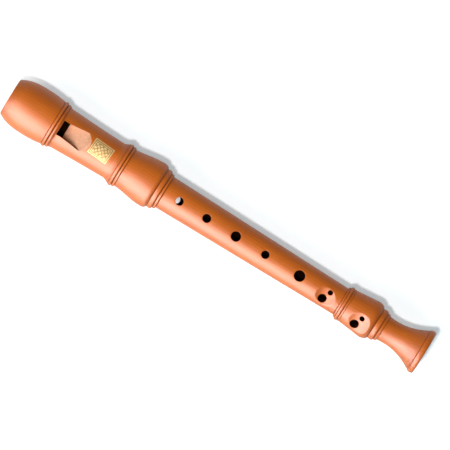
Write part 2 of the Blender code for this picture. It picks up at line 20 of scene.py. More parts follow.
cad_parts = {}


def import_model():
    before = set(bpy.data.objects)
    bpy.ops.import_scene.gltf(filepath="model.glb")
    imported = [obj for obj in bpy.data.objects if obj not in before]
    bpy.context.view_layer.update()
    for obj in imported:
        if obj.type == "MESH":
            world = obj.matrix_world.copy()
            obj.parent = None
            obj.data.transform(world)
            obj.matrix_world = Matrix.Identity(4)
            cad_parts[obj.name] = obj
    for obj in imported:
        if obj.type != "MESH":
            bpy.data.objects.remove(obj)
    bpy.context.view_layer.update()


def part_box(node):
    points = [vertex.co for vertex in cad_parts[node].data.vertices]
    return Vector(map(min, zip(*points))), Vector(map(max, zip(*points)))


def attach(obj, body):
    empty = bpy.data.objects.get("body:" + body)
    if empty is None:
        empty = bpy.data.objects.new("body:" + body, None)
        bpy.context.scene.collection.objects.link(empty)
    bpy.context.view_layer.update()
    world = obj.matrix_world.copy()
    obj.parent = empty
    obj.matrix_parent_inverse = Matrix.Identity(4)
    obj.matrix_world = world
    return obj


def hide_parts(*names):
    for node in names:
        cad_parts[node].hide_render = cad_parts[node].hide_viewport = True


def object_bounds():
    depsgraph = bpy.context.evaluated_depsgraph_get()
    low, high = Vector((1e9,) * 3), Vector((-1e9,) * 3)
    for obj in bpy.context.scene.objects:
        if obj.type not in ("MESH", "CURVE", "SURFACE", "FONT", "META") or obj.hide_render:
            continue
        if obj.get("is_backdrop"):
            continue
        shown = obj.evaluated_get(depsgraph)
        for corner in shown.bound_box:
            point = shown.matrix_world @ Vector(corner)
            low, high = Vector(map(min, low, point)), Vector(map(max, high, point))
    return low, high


LOG = logging.getLogger("recorder")
MM = 0.001
SHARP_ANGLE = math.radians(32.0)

# How far a cutter runs past an open end and past a shoulder, in millimetres
OVERRUN = 1.0
SHOULDER_RUN = 0.01

# A shallow groove's share of the full depth
SHALLOW = 0.5

# How fast Blender's wave texture runs at scale 1, in radians a metre
WAVE_RADIANS = 20

# How much further a grain layer's seed moves it sideways than along
SEED_SLANT = 1.7

Material = bpy.types.Material
Node = bpy.types.Node
Source = bpy.types.Node | bpy.types.NodeSocket
Thing = bpy.types.Object
Add = Callable[..., Node]
Pair = tuple[float, float]
Triple = tuple[float, float, float]
Section = tuple[float, float, float, float]


class Zone(Enum):
    """Material slots of a bored joint, in the order that they are given to it."""

    OUTSIDE = 0
    INSIDE = 1


class Work(Enum):
    """What a tool does to a piece, by Blender's name for it."""

    CUT = "DIFFERENCE"
    JOIN = "UNION"


def linear(hex_colour: str) -> tuple[float, float, float, float]:
    """Turn an sRGB hex colour into a linear one with full alpha.

    Args:
        hex_colour: Six hex digits after a hash sign.

    Returns:
        Red, green, blue and alpha for a shader socket.
    """
    channels = []
    for start in (1, 3, 5):
        value = int(hex_colour[start:start + 2], 16) / 255
        channels.append(value / 12.92 if value <= 0.04045 else ((value + 0.055) / 1.055) ** 2.4)
    return (*channels, 1.0)


def add_node(tree: bpy.types.NodeTree, kind: str, settings: dict | None = None,
             links: dict | None = None) -> Node:
    """Add one node with its settings and its incoming links.

    Args:
        tree: The node tree that gets the node.
        kind: Blender's name of the node's type, without ShaderNode before it.
        settings: Properties by lower-case name, and unlinked inputs by name or number.
        links: By an input's name or number, the socket that feeds it, or a node for its first one.

    Returns:
        The new node.
    """
    node = tree.nodes.new("ShaderNode" + kind)
    for name, value in (settings or {}).items():
        if isinstance(name, str) and name.islower():
            setattr(node, name, value)
        else:
            node.inputs[name].default_value = value
    for name, source in (links or {}).items():
        socket = source.outputs[0] if isinstance(source, Node) else source
        tree.links.new(socket, node.inputs[name])
    return node


def new_material(name: str) -> tuple[Material, Add]:
    """Make a material without nodes.

    Args:
        name: The finish's name.

    Returns:
        The material and the function that adds a node to it.
    """
    material = bpy.data.materials.new(name)
    material.use_nodes = True
    material.node_tree.nodes.clear()
    return material, partial(add_node, material.node_tree)


def lay_over(add: Add, base: str, layers: Sequence[tuple[Source, str, float]]) -> Source:
    """Lay colours over a base, one after another.

    Args:
        add: Adds a node.
        base: The first colour, in hex.
        layers: For each further colour, the node or socket that says where it lies, its hex value
            and how strongly it covers.

    Returns:
        The mixed colour's socket.
    """
    mixed = None
    for where, colour, cover in layers:
        if cover < 1.0:
            where = add("Math", {"operation": "MULTIPLY", 1: cover}, {0: where})
        settings = {"data_type": "RGBA", 6: linear(base), 7: linear(colour)}
        mixed = add("Mix", settings, {0: where, 6: mixed} if mixed else {0: where}).outputs[2]
    return mixed


def wave_scale(pitch: float) -> float:
    """Give the wave texture's scale for bands that lie a pitch in millimetres apart."""
    return 2 * math.pi / WAVE_RADIANS / (pitch * MM)


def walk_round(first_row: int, last_row: int, first_column: int, last_column: int) -> list[tuple[int, int]]:
    """List the rows and columns round the edge of a part of a grid.

    Args:
        first_row: Where the part starts.
        last_row: Where it ends.
        first_column: Its first column.
        last_column: Its last column.

    Returns:
        Row and column of each grid point, in order and without a repeat.
    """
    steps = [(row, first_column) for row in range(first_row, last_row)]
    steps += [(last_row, column) for column in range(first_column, last_column)]
    steps += [(row, last_column) for row in range(last_row, first_row, -1)]
    steps += [(first_row, column) for column in range(last_column, first_column, -1)]
    return steps


@dataclass(frozen=True)
class Grain:
    """One layer of marks drawn out along the grain.

    seed sets the layer apart from the others, and spread holds the noise's values at which a
    mark starts to show and shows in full.
    """

    length: float
    width: float
    detail: float
    seed: float = 0.0
    spread: Pair = (0.3, 0.7)
    roughness: float = 0.6

    def noise(self, add: Add, place: bpy.types.NodeSocket) -> Node:
        """Make the noise.

        Args:
            add: Adds a node.
            place: Object coordinates.

        Returns:
            The noise's node.
        """
        scale = (1 / (self.length * MM), 1 / (self.width * MM), 1 / (self.width * MM))
        shift = (self.seed, self.seed * SEED_SLANT, -self.seed)
        stretched = add("Mapping", {"Scale": scale, "Location": shift}, {"Vector": place})
        return add("TexNoise", {"Scale": 1.0, "Detail": self.detail, "Roughness": self.roughness},
                   {"Vector": stretched})

    def marks(self, add: Add, noise: Node) -> Node:
        """Pick the marks out of the noise."""
        return add("MapRange", {"From Min": self.spread[0], "From Max": self.spread[1]}, {"Value": noise})


@dataclass(frozen=True)
class Finish:
    """What every finish has: a name, a shine and the height of its bumps in millimetres."""

    name: str = "finish"
    roughness: float = 0.5
    ior: float = 1.5
    specular: float = 0.5
    metallic: float = 0.0
    bump: float = 0.2
    bump_height: float = 0.05
    sunk: bool = False
    shelter_samples: int = 8

    def sheltered(self, add: Add, reach: float, spread: Pair, cover: float,
                  facing: dict | None = None) -> Node:
        """Find where the piece shelters its own surface, as a mask for painted shade.

        Args:
            add: Adds a node.
            reach: How far away a sheltering wall may be.
            spread: How open the surface is where the shelter is full and where it ends.
            cover: The value where it is full.
            facing: The direction that counts as out, where that isn't the surface's own.

        Returns:
            The node with the value, which is nought in the open.
        """
        openness = add("AmbientOcclusion", {"samples": self.shelter_samples, "only_local": True,
                                            "Distance": reach * MM}, facing)
        return add("MapRange", {"From Min": spread[0], "From Max": spread[1],
                                "To Min": cover, "To Max": 0.0}, {"Value": openness.outputs["AO"]})

    def close(self, add: Add, colour: Source, height: Source, shine: Source | None = None) -> None:
        """Close the material with its bumps and its shader.

        Args:
            add: Adds a node.
            colour: Its colour.
            height: What stands out of the surface, or lies in it for a sunk finish.
            shine: Its roughness, where that varies.
        """
        bumps = add("Bump", {"Strength": self.bump, "Distance": self.bump_height * MM, "invert": self.sunk},
                    {"Height": height})
        links = {"Base Color": colour, "Normal": bumps}
        if shine is not None:
            links["Roughness"] = shine
        looks = {"Roughness": self.roughness, "IOR": self.ior, "Metallic": self.metallic,
                 "Specular IOR Level": self.specular}
        shader = add("BsdfPrincipled", looks, links)
        add("OutputMaterial", links={"Surface": shader})


@dataclass(frozen=True)
class TurnedPearwood(Finish):
    """European pearwood, turned, sanded, stained orange-brown and oiled.

    The eye sees a close, even wood with faint long rings, short dark pores, darker end grain
    on the sides of every ring, and a broad satin shine. Real pores are about 0.05 mm wide, which
    is too fine to show, so they are drawn 0.13 mm wide.
    """

    name: str = "turned_pearwood"
    roughness: float = 0.42
    specular: float = 0.35
    bump: float = 0.25
    light: str = "#CF6E13"
    middle: str = "#C36110"
    dark: str = "#A94E0A"
    pore: str = "#843A0C"
    end_grain: str = "#7E380A"
    pith: Pair = (31.0, -46.0)
    ring_width: float = 2.1
    ring_wander: float = 3.0
    wander: Grain = Grain(60.0, 9.0, 2.0, 3.1)
    streaks: Grain = Grain(22.0, 0.9, 5.0, 0.0, (0.32, 0.68))
    clouds: Grain = Grain(34.0, 17.0, 2.0, 11.9, (0.38, 0.66))
    pores: Grain = Grain(1.9, 0.13, 1.0, 5.7, (0.62, 0.72))
    fibres: Grain = Grain(6.0, 0.22, 3.0, 7.3)
    streak_cover: float = 0.75
    ring_cover: float = 0.34
    cloud_cover: float = 0.26
    pore_cover: float = 0.55
    shine_spread: Pair = (-0.05, 0.07)
    pore_depth: float = 0.7
    cross_cut: Pair = (0.25, 0.9)
    cross_cover: float = 0.68
    groove_reach: float = 0.5
    groove_open: Pair = (0.3, 0.8)
    groove_cover: float = 0.36

    def build(self) -> Material:
        """Make the material.

        Returns:
            The material.
        """
        material, add = new_material(self.name)
        coordinates = add("TexCoord")
        place = coordinates.outputs["Object"]

        # Growth rings, as a lathe cuts them from a straight-grained square
        pith = (0.0, self.pith[0] * MM, self.pith[1] * MM)
        moved = add("Mapping", {"Location": pith}, {"Vector": place})
        wander = add("Math", {"operation": "MULTIPLY", 1: self.ring_wander * MM},
                     {0: self.wander.noise(add, place)})
        lifted = add("CombineXYZ", links={"Y": wander, "Z": wander})
        centred = add("VectorMath", {"operation": "ADD"}, {0: moved, 1: lifted})
        rings = add("TexWave", {"wave_type": "RINGS", "rings_direction": "X", "wave_profile": "SAW",
                                "Scale": wave_scale(self.ring_width)}, {"Vector": centred})
        streaks, clouds, pores = (layer.marks(add, layer.noise(add, place))
                                  for layer in (self.streaks, self.clouds, self.pores))

        # Stain sinks deeper where the lathe crosses the grain, and painted shade darkens the grooves where
        # the piece shelters its own surface
        facing = add("SeparateXYZ", links={0: coordinates.outputs["Normal"]})
        slope = add("Math", {"operation": "ABSOLUTE"}, {0: facing.outputs["X"]})
        across = add("MapRange", {"From Min": self.cross_cut[0], "From Max": self.cross_cut[1],
                                  "To Max": self.cross_cover}, {"Value": slope})
        painted_groove_shade = self.sheltered(add, self.groove_reach, self.groove_open, self.groove_cover)
        colour = lay_over(add, self.middle, (
            (streaks, self.light, self.streak_cover),
            (rings.outputs["Fac"], self.dark, self.ring_cover),
            (clouds, self.dark, self.cloud_cover),
            (pores, self.pore, self.pore_cover),
            (across, self.end_grain, 1.0),
            (painted_groove_shade, self.pore, 1.0),
        ))

        fibres = self.fibres.noise(add, place)
        shine = add("MapRange", {"From Min": self.fibres.spread[0], "From Max": self.fibres.spread[1],
                                 "To Min": self.roughness + self.shine_spread[0],
                                 "To Max": self.roughness + self.shine_spread[1]}, {"Value": fibres})
        height = add("Math", {"operation": "MULTIPLY_ADD", 1: -self.pore_depth}, {0: pores, 2: fibres})
        self.close(add, colour, height, shine)
        return material


@dataclass(frozen=True)
class BoredPearwood(Finish):
    """Pearwood reamed and oiled inside the bore: near black, dull and faintly ringed by the reamer; the
    near black is partly the oiled wood and partly painted shade of the unlit bore.

    The reamer's real rings are too fine to show, so they are drawn 0.8 mm apart.
    """

    name: str = "bored_pearwood"
    roughness: float = 0.75
    specular: float = 0.1
    bump_height: float = 0.04
    # Near black: partly the oiled wood, partly painted shade of the unlit bore and pits
    light: str = "#241006"
    dark: str = "#120602"
    tool_mark: float = 0.8
    patch: float = 50 / 21

    def build(self) -> Material:
        """Make the material.

        Returns:
            The material.
        """
        material, add = new_material(self.name)
        place = add("TexCoord").outputs["Object"]
        marks = add("TexWave", {"wave_type": "BANDS", "bands_direction": "X", "Distortion": 1.5,
                                "Detail": 2.0, "Scale": wave_scale(self.tool_mark)}, {"Vector": place})
        patches = add("TexNoise", {"Scale": 1 / (self.patch * MM), "Detail": 4.0}, {"Vector": place})
        self.close(add, lay_over(add, self.dark, [(patches, self.light, 1.0)]), marks.outputs["Fac"])
        return material


@dataclass(frozen=True)
class KnifeCutPearwood(Finish):
    """Pearwood pared by hand at the ramp and windway after staining: paler and finely striped, with a
    painted shadow of the -Y wall darkening the ramp's corner under it.
    """

    name: str = "knife_cut_pearwood"
    specular: float = 0.25
    bump_height: float = 0.03
    light: str = "#D69F7C"
    dark: str = "#C2855C"
    painted_shadow: str = "#5E2E0E"
    stripes: Grain = Grain(14.0, 0.5, 5.0, roughness=0.5)
    painted_shadow_facing: Triple = (0.0, -0.8, 0.6)
    painted_shadow_reach: float = 4.5
    painted_shadow_open: Pair = (0.42, 0.68)
    painted_shadow_cover: float = 0.92

    def build(self) -> Material:
        """Make the material.

        Returns:
            The material.
        """
        material, add = new_material(self.name)
        stripes = self.stripes.noise(add, add("TexCoord").outputs["Object"])

        # Painted shadow: the -Y wall's shadow on the ramp, drawn as a dark wedge where the piece hides a
        # direction leaning towards -Y
        leaning = add("VectorTransform", {"vector_type": "NORMAL", "convert_from": "OBJECT",
                                          "convert_to": "WORLD", "Vector": self.painted_shadow_facing})
        left = self.sheltered(add, self.painted_shadow_reach, self.painted_shadow_open, self.painted_shadow_cover,
                              {"Normal": leaning})
        colour = lay_over(add, self.light, ((self.stripes.marks(add, stripes), self.dark, 1.0),
                                            (left, self.painted_shadow, 1.0)))
        self.close(add, colour, stripes)
        return material


@dataclass(frozen=True)
class PlanedCedar(Finish):
    """Red cedar, planed and left bare for the block: soft, matt, with dark narrow late-wood lines."""

    name: str = "planed_cedar"
    roughness: float = 0.7
    ior: float = 1.45
    bump: float = 0.3
    light: str = "#C98E62"
    dark: str = "#8F5534"
    ring_width: float = 1.3
    ring_tilt: Triple = (0.5, 0.0, 0.03)
    fibres: Grain = Grain(25 / 3, 2 / 7, 4.0, roughness=0.5)
    ring_cover: float = 0.8
    fibre_cover: float = 0.35

    def build(self) -> Material:
        """Make the material.

        Returns:
            The material.
        """
        material, add = new_material(self.name)
        place = add("TexCoord").outputs["Object"]
        tilted = add("Mapping", {"Rotation": self.ring_tilt}, {"Vector": place})
        rings = add("TexWave", {"wave_type": "BANDS", "bands_direction": "Z", "wave_profile": "SAW",
                                "Scale": wave_scale(self.ring_width), "Distortion": 1.2, "Detail": 2.0,
                                "Detail Scale": 0.4}, {"Vector": tilted})
        fibres = self.fibres.noise(add, place)
        colour = lay_over(add, self.light, ((rings.outputs["Fac"], self.dark, self.ring_cover),
                                            (fibres, self.dark, self.fibre_cover)))
        self.close(add, colour, fibres)
        return material


@dataclass(frozen=True)
class SandedCork(Finish):
    """Sheet cork, sanded to size and greased: tan cells a millimetre across with dark specks between."""

    name: str = "sanded_cork"
    roughness: float = 0.62
    ior: float = 1.4
    bump: float = 0.5
    bump_height: float = 0.08
    sunk: bool = True
    light: str = "#C79A66"
    dark: str = "#8C6238"
    speck: str = "#4A2E17"
    cell: float = 0.9
    seam_share: float = 0.07
    seam_cover: float = 0.35
    pit: float = 10 / 9
    pit_spread: Pair = (0.6, 0.68)
    pit_cover: float = 0.8

    def build(self) -> Material:
        """Make the material.

        Returns:
            The material.
        """
        material, add = new_material(self.name)
        place = {"Vector": add("TexCoord").outputs["Object"]}
        cells, edges = (add("TexVoronoi", {"feature": feature, "Scale": 1 / (self.cell * MM)}, place)
                        for feature in ("F1", "DISTANCE_TO_EDGE"))
        seams = add("MapRange", {"From Max": self.seam_share, "To Min": 1.0, "To Max": 0.0},
                    {"Value": edges.outputs["Distance"]})
        specks = add("TexNoise", {"Scale": 1 / (self.pit * MM), "Detail": 2.0}, place)
        pits = add("MapRange", {"From Min": self.pit_spread[0], "From Max": self.pit_spread[1]},
                   {"Value": specks})
        shade = add("SeparateColor", links={0: cells.outputs["Color"]})
        colour = lay_over(add, self.light, ((shade, self.dark, 1.0), (seams, self.speck, self.seam_cover),
                                            (pits, self.speck, self.pit_cover)))
        self.close(add, colour, pits)
        return material


@dataclass(frozen=True)
class StampedFoil(Finish):
    """Gold foil pressed on the wood: a soft metal shine, and a brown lattice in a double border."""

    name: str = "stamped_foil"
    roughness: float = 0.55
    specular: float = 0.1
    metallic: float = 0.2
    bump: float = 0.5
    bump_height: float = 0.06
    sunk: bool = True
    gold: str = "#E0BD85"
    worn: str = "#CDA566"
    line: str = "#86602A"
    lattice_pitch: float = 3.0
    line_width: float = 0.34
    line_edges: Pair = (0.35, 0.65)
    border_inset: float = 0.9
    border_width: float = 0.6
    inner_inset: float = 2.0
    line_cover: float = 0.85
    rub: float = 10 / 7
    rub_spread: Pair = (0.4, 0.65)

    def band(self, add: Add, distance: Node, centre: float, width: float) -> Node:
        """Draw a line where a distance is near a value.

        Args:
            add: Adds a node.
            distance: The distance in metres.
            centre: The distance at the line's middle.
            width: The line's width.

        Returns:
            One on the line and nought off it.
        """
        off = add("Math", {"operation": "SUBTRACT", 1: centre * MM}, {0: distance})
        near = add("Math", {"operation": "ABSOLUTE"}, {0: off})
        full, clear = (width * share * MM for share in self.line_edges)
        return add("MapRange", {"From Min": full, "From Max": clear, "To Min": 1.0, "To Max": 0.0},
                   {"Value": near})

    def build(self, half_length: float, half_width: float) -> Material:
        """Make the material for a plate whose points hold their place on it as an attribute.

        Args:
            half_length: Half the plate's length along the bore.
            half_width: Half its width round the bore.

        Returns:
            The material.
        """
        material, add = new_material(self.name)
        place = add("Attribute", {"attribute_name": "plate"})
        axes = add("SeparateXYZ", links={0: place.outputs["Vector"]}).outputs
        edges = []
        for axis, half in (("X", half_length), ("Y", half_width)):
            size = add("Math", {"operation": "ABSOLUTE"}, {0: axes[axis]})
            edges.append(add("Math", {"operation": "SUBTRACT", 0: half * MM}, {1: size}))
        inset = add("Math", {"operation": "MINIMUM"}, {0: edges[0], 1: edges[1]})
        inside = add("Math", {"operation": "GREATER_THAN", 1: self.inner_inset * MM}, {0: inset})
        strokes = []
        for sign in (1.0, -1.0):
            slanted = add("Math", {"operation": "MULTIPLY_ADD", 1: sign}, {0: axes["Y"], 2: axes["X"]})
            folded = add("Math", {"operation": "PINGPONG", 1: self.lattice_pitch / 2 * MM}, {0: slanted})
            strokes.append(self.band(add, folded, 0.0, self.line_width * 2))
        lattice = add("Math", {"operation": "MAXIMUM"}, {0: strokes[0], 1: strokes[1]})
        ink = add("Math", {"operation": "MULTIPLY"}, {0: lattice, 1: inside})
        for centre, width in ((self.border_inset, self.border_width), (self.inner_inset, self.line_width)):
            ink = add("Math", {"operation": "MAXIMUM"}, {0: ink, 1: self.band(add, inset, centre, width)})
        rubbing = add("TexNoise", {"Scale": 1 / (self.rub * MM), "Detail": 4.0},
                      {"Vector": add("TexCoord").outputs["Object"]})
        rubbed = add("MapRange", {"From Min": self.rub_spread[0], "From Max": self.rub_spread[1]},
                     {"Value": rubbing})
        colour = lay_over(add, self.gold, ((rubbed, self.worn, 1.0), (ink, self.line, self.line_cover)))
        self.close(add, colour, ink)
        return material


class Outline:
    """The outline of a turned piece, drawn along the axis as points of place and radius."""

    groove_width = 0.4
    groove_depth = 0.4

    def __init__(self, place: float, radius: float) -> None:
        """Start the outline at a point."""
        self.points: list[Pair] = [(place, radius)]

    @property
    def place(self) -> float:
        """Where the outline has got to along the axis."""
        return self.points[-1][0]

    def line(self, length: float, radius: float) -> None:
        """Draw a straight stretch."""
        self.points.append((self.place + length, radius))

    def curve(self, length: float, radius: float, steps: int, along: Callable[[float], float],
              rise: Callable[[float], float]) -> None:
        """Draw a curve.

        Args:
            length: Its length along the axis.
            radius: The radius it ends at.
            steps: How many straight bits stand for it.
            along: Share of the length for a share of the steps.
            rise: Share of the change of radius for a share of the steps.
        """
        start, low = self.points[-1]
        for step in range(1, steps + 1):
            share = step / steps
            self.points.append((start + length * along(share), low + (radius - low) * rise(share)))

    def round_over(self, length: float, radius: float, steps: int = 10) -> None:
        """Draw a quarter round that starts steep and ends level."""
        self.curve(length, radius, steps, lambda share: 1 - math.cos(share * math.pi / 2),
                   lambda share: math.sin(share * math.pi / 2))

    def cove(self, length: float, radius: float, steps: int = 10) -> None:
        """Draw a quarter round that starts level and ends steep."""
        self.curve(length, radius, steps, lambda share: math.sin(share * math.pi / 2),
                   lambda share: 1 - math.cos(share * math.pi / 2))

    def ogee(self, length: float, radius: float, steps: int = 20) -> None:
        """Draw an S curve that is level at both ends."""
        self.curve(length, radius, steps, lambda share: share,
                   lambda share: share * share * (3 - 2 * share))

    def flare(self, length: float, radius: float, power: float, steps: int) -> None:
        """Draw a curve that starts level and grows by a power of the distance."""
        self.curve(length, radius, steps, lambda share: share, lambda share: share ** power)

    def ease(self, length: float, radius: float, power: float, steps: int = 12) -> None:
        """Draw a curve that ends level, the flare's opposite."""
        self.curve(length, radius, steps, lambda share: share, lambda share: 1 - (1 - share) ** power)

    def bead(self, width: float, peak: float, end: float, steps: int = 14) -> None:
        """Draw a ring with a half round section.

        Args:
            width: The ring's width along the axis.
            peak: Its largest radius.
            end: The radius after it.
            steps: How many straight bits stand for it.
        """
        start, low = self.points[-1]
        for step in range(1, steps + 1):
            angle = math.pi * step / steps
            share = (1 - math.cos(angle)) / 2
            base = low + (end - low) * share
            self.points.append((start + width * share, base + (peak - base) * math.sin(angle)))

    def groove(self, end: float, depth_share: float = 1.0) -> None:
        """Draw the narrow V that sets off a ring.

        Args:
            end: The radius after it.
            depth_share: How much of the full depth it goes under the lower of its two sides.
        """
        bottom = min(self.points[-1][1], end) - self.groove_depth * depth_share
        self.line(self.groove_width / 2, bottom)
        self.line(self.groove_width / 2, end)


@dataclass(frozen=True)
class FingerHole:
    """One drilled hole: its place, its angle round the bore, its radius and how far it leans."""

    place: float
    angle: float
    radius: float
    lean: float = 0.0
    rim: float = 0.3


@dataclass(frozen=True)
class Dish:
    """A shallow scoop cut by a drum that lies across the bore."""

    place: float
    angle: float
    depth: float
    drum_radius: float


@dataclass
class Solid:
    """Points, faces by point number, and the material zone of each face."""

    points: list[Sequence[float]] = field(default_factory=list)
    faces: list[Sequence[int]] = field(default_factory=list)
    zones: list[int] = field(default_factory=list)


@dataclass(kw_only=True)
class Shell(Solid):
    """The outside of a turned piece as one fine grid, with rounded pits where holes start.

    The grid leaves out a few cells round each hole, and rings of faces join the gap's edge to
    the hole's rounded rim, so the shine runs on evenly up to the hole.
    """

    outline: Sequence[Pair]
    sides: int = 168
    dishes: Sequence[Dish] = ()
    holes: Sequence[FingerHole] = ()
    fine_step: float = 0.45
    coarse_step: float = 1.6
    hole_margin: float = 2.0
    dish_reach: float = 9.0
    dish_softness: float = 0.22
    drum_limit: float = 0.999
    turn_limit: float = 0.2
    patch_margin: float = 0.35
    patch_rings: int = 4
    rim_steps: int = 4
    pit_depth: float = 1.3
    pit_steps: Pair = (0.5, 1.0)
    height_rounds: int = 6
    drill_start: float = 0.7
    drill_end: float = 0.4
    drill_slack: float = 0.05
    drill_spread: float = 0.35

    def __post_init__(self) -> None:
        """Work out the grid's places, radii and angles."""
        places, radii = [self.outline[0][0]], [self.outline[0][1]]
        for (start, low), (end, high) in zip(self.outline[:-1], self.outline[1:]):
            step = self.fine_step if self.near_work(start, end) else self.coarse_step
            parts = max(1, math.ceil(abs(end - start) / step))
            for part in range(1, parts + 1):
                share = part / parts
                places.append(start + (end - start) * share)
                radii.append(low + (high - low) * share)
        self.places = np.array(places)
        self.radii = np.array(radii)
        self.angles = np.arange(self.sides) * 2 * math.pi / self.sides

    def near_work(self, start: float, end: float) -> bool:
        """Say whether a stretch of the outline has a hole or a dish in it.

        Args:
            start: Where the stretch starts.
            end: Where it ends.

        Returns:
            True if it needs the fine grid.
        """
        spans = [(hole.place, hole.radius + self.hole_margin) for hole in self.holes]
        spans += [(dish.place, self.dish_reach) for dish in self.dishes]
        return any(end > place - reach and start < place + reach for place, reach in spans)

    def scooped(self, places: np.ndarray, angles: np.ndarray, radii: np.ndarray) -> np.ndarray:
        """Lower the surface's radius where a dish cuts it.

        Args:
            places: Places along the axis.
            angles: Angles round the bore, in radians.
            radii: The turned radius there.

        Returns:
            The radius after the dishes, with their edges softened.
        """
        result = radii + 0.0 * angles
        for dish in self.dishes:
            turn = (angles - math.radians(dish.angle) + math.pi) % (2 * math.pi) - math.pi
            along = np.clip(np.abs(places - dish.place) / dish.drum_radius, 0.0, self.drum_limit)
            crest = np.interp(dish.place, self.places, self.radii)
            lift = crest - dish.depth + dish.drum_radius
            floor = lift - dish.drum_radius * np.sqrt(1 - along ** 2)
            cut = floor / np.clip(np.cos(turn), self.turn_limit, 1.0)
            blend = np.clip(self.dish_softness - np.abs(cut - result), 0.0, None) / self.dish_softness
            result = np.minimum(result, cut) - blend ** 2 * self.dish_softness / 4
        return result

    def surface_radius(self, place: float, angle: float) -> float:
        """Find the finished radius at one place and angle in radians."""
        turned = np.interp(place, self.places, self.radii)
        return float(self.scooped(np.array(place), np.array(angle), np.array(turned)))

    def add_point(self, place: float, side: float, height: float) -> int:
        """Store a point and return its number."""
        self.points.append((place, side, height))
        return len(self.points) - 1

    def add_face(self, corners: Sequence[int], zone: Zone) -> None:
        """Store a face and the zone that it belongs to."""
        self.faces.append(tuple(corners))
        self.zones.append(zone.value)

    def build(self) -> Shell:
        """Make all points and faces.

        Returns:
            The shell itself.
        """
        grid = []
        radii = self.scooped(self.places[:, None], self.angles[None, :], self.radii[:, None])
        for place, row_radii in zip(self.places, radii):
            grid.append([self.add_point(place, -radius * math.sin(angle), radius * math.cos(angle))
                         for angle, radius in zip(self.angles, row_radii)])
        gaps = [self.gap(hole) for hole in self.holes]
        left_out = {(row, column % self.sides) for first_row, last_row, first_column, last_column in gaps
                    for row in range(first_row, last_row) for column in range(first_column, last_column)}
        for row in range(len(grid) - 1):
            for column in range(self.sides):
                if (row, column) not in left_out:
                    after = (column + 1) % self.sides
                    self.add_face((grid[row][column], grid[row][after],
                                   grid[row + 1][after], grid[row + 1][column]), Zone.OUTSIDE)
        self.add_face(grid[0][::-1], Zone.OUTSIDE)
        self.add_face(grid[-1], Zone.OUTSIDE)
        for hole, gap in zip(self.holes, gaps):
            self.sink_pit(hole, [grid[row][column % self.sides] for row, column in walk_round(*gap)])
        return self

    def gap(self, hole: FingerHole) -> tuple[int, int, int, int]:
        """Choose the part of the grid that is left out round a hole.

        Args:
            hole: The hole.

        Returns:
            The gap's first and last row and its first and last column.
        """
        reach = hole.radius + hole.rim + self.patch_margin
        first_row = int(np.searchsorted(self.places, hole.place - reach) - 1)
        last_row = int(np.searchsorted(self.places, hole.place + reach))
        columns = self.sides / (2 * math.pi)
        angle = math.radians(hole.angle)
        turn = reach / self.surface_radius(hole.place, angle)
        first_column = math.floor((angle - turn) * columns)
        return first_row, last_row, first_column, math.ceil((angle + turn) * columns)

    def sink_pit(self, hole: FingerHole, edge: list[int]) -> None:
        """Fill the gap round a hole with rings down to its rim and a short pit.

        Args:
            hole: The hole.
            edge: The gap's points, in order.
        """
        angle = math.radians(hole.angle)
        lean = angle + math.radians(hole.lean)
        radius = self.surface_radius(hole.place, angle)
        centre = np.array((hole.place, -radius * math.sin(angle), radius * math.cos(angle)))
        out = np.array((0.0, -math.sin(lean), math.cos(lean)))
        beside = np.array((0.0, -math.cos(lean), -math.sin(lean)))

        def height(along: float, across: float) -> float:
            """Find how far out the surface lies over a point of the hole's cross-section.

            Args:
                along: The point's distance from the hole's centre along the bore.
                across: Its distance round the bore.

            Returns:
                The height over the centre.
            """
            value = 0.0
            for _ in range(self.height_rounds):
                spot = centre + across * beside + value * out
                turned = self.surface_radius(hole.place + along, math.atan2(-spot[1], spot[2]))
                value = math.sqrt(max(turned ** 2 - (float(centre @ beside) + across) ** 2, 0.0))
                value -= float(centre @ out)
            return value

        starts = []
        for number in edge:
            spot = np.array(self.points[number])
            starts.append((spot[0] - hole.place, float((spot - centre) @ beside)))
        turns = [math.atan2(across, along) for along, across in starts]
        rings: list[tuple[list[Triple], Zone]] = []
        rim_radius = hole.radius + hole.rim
        for ring in range(1, self.patch_rings + 1):
            share = ring / self.patch_rings
            patch = []
            for (along, across), turn in zip(starts, turns):
                along += (rim_radius * math.cos(turn) - along) * share
                across += (rim_radius * math.sin(turn) - across) * share
                patch.append((along, across, height(along, across)))
            rings.append((patch, Zone.OUTSIDE))
        for step in range(1, self.rim_steps + 1):
            bend = math.pi / 2 * step / self.rim_steps
            reach = hole.radius + hole.rim * (1 - math.sin(bend))
            lip = []
            for turn in turns:
                along, across = reach * math.cos(turn), reach * math.sin(turn)
                lip.append((along, across, height(along, across) - hole.rim * (1 - math.cos(bend))))
            rings.append((lip, Zone.OUTSIDE))
        bottom = min(level for _, _, level in lip) - self.pit_depth
        for share in self.pit_steps:
            wall = [(along, across, level + (bottom - level) * share) for along, across, level in lip]
            rings.append((wall, Zone.INSIDE))

        count = len(edge)
        previous = edge
        for ring, zone in rings:
            current = []
            for along, across, level in ring:
                spot = centre + across * beside + level * out
                current.append(self.add_point(float(hole.place + along), float(spot[1]), float(spot[2])))
            for index in range(count):
                after = (index + 1) % count
                self.add_face((previous[index], current[index], current[after], previous[after]), zone)
            previous = current
        self.add_face(previous[::-1], Zone.INSIDE)

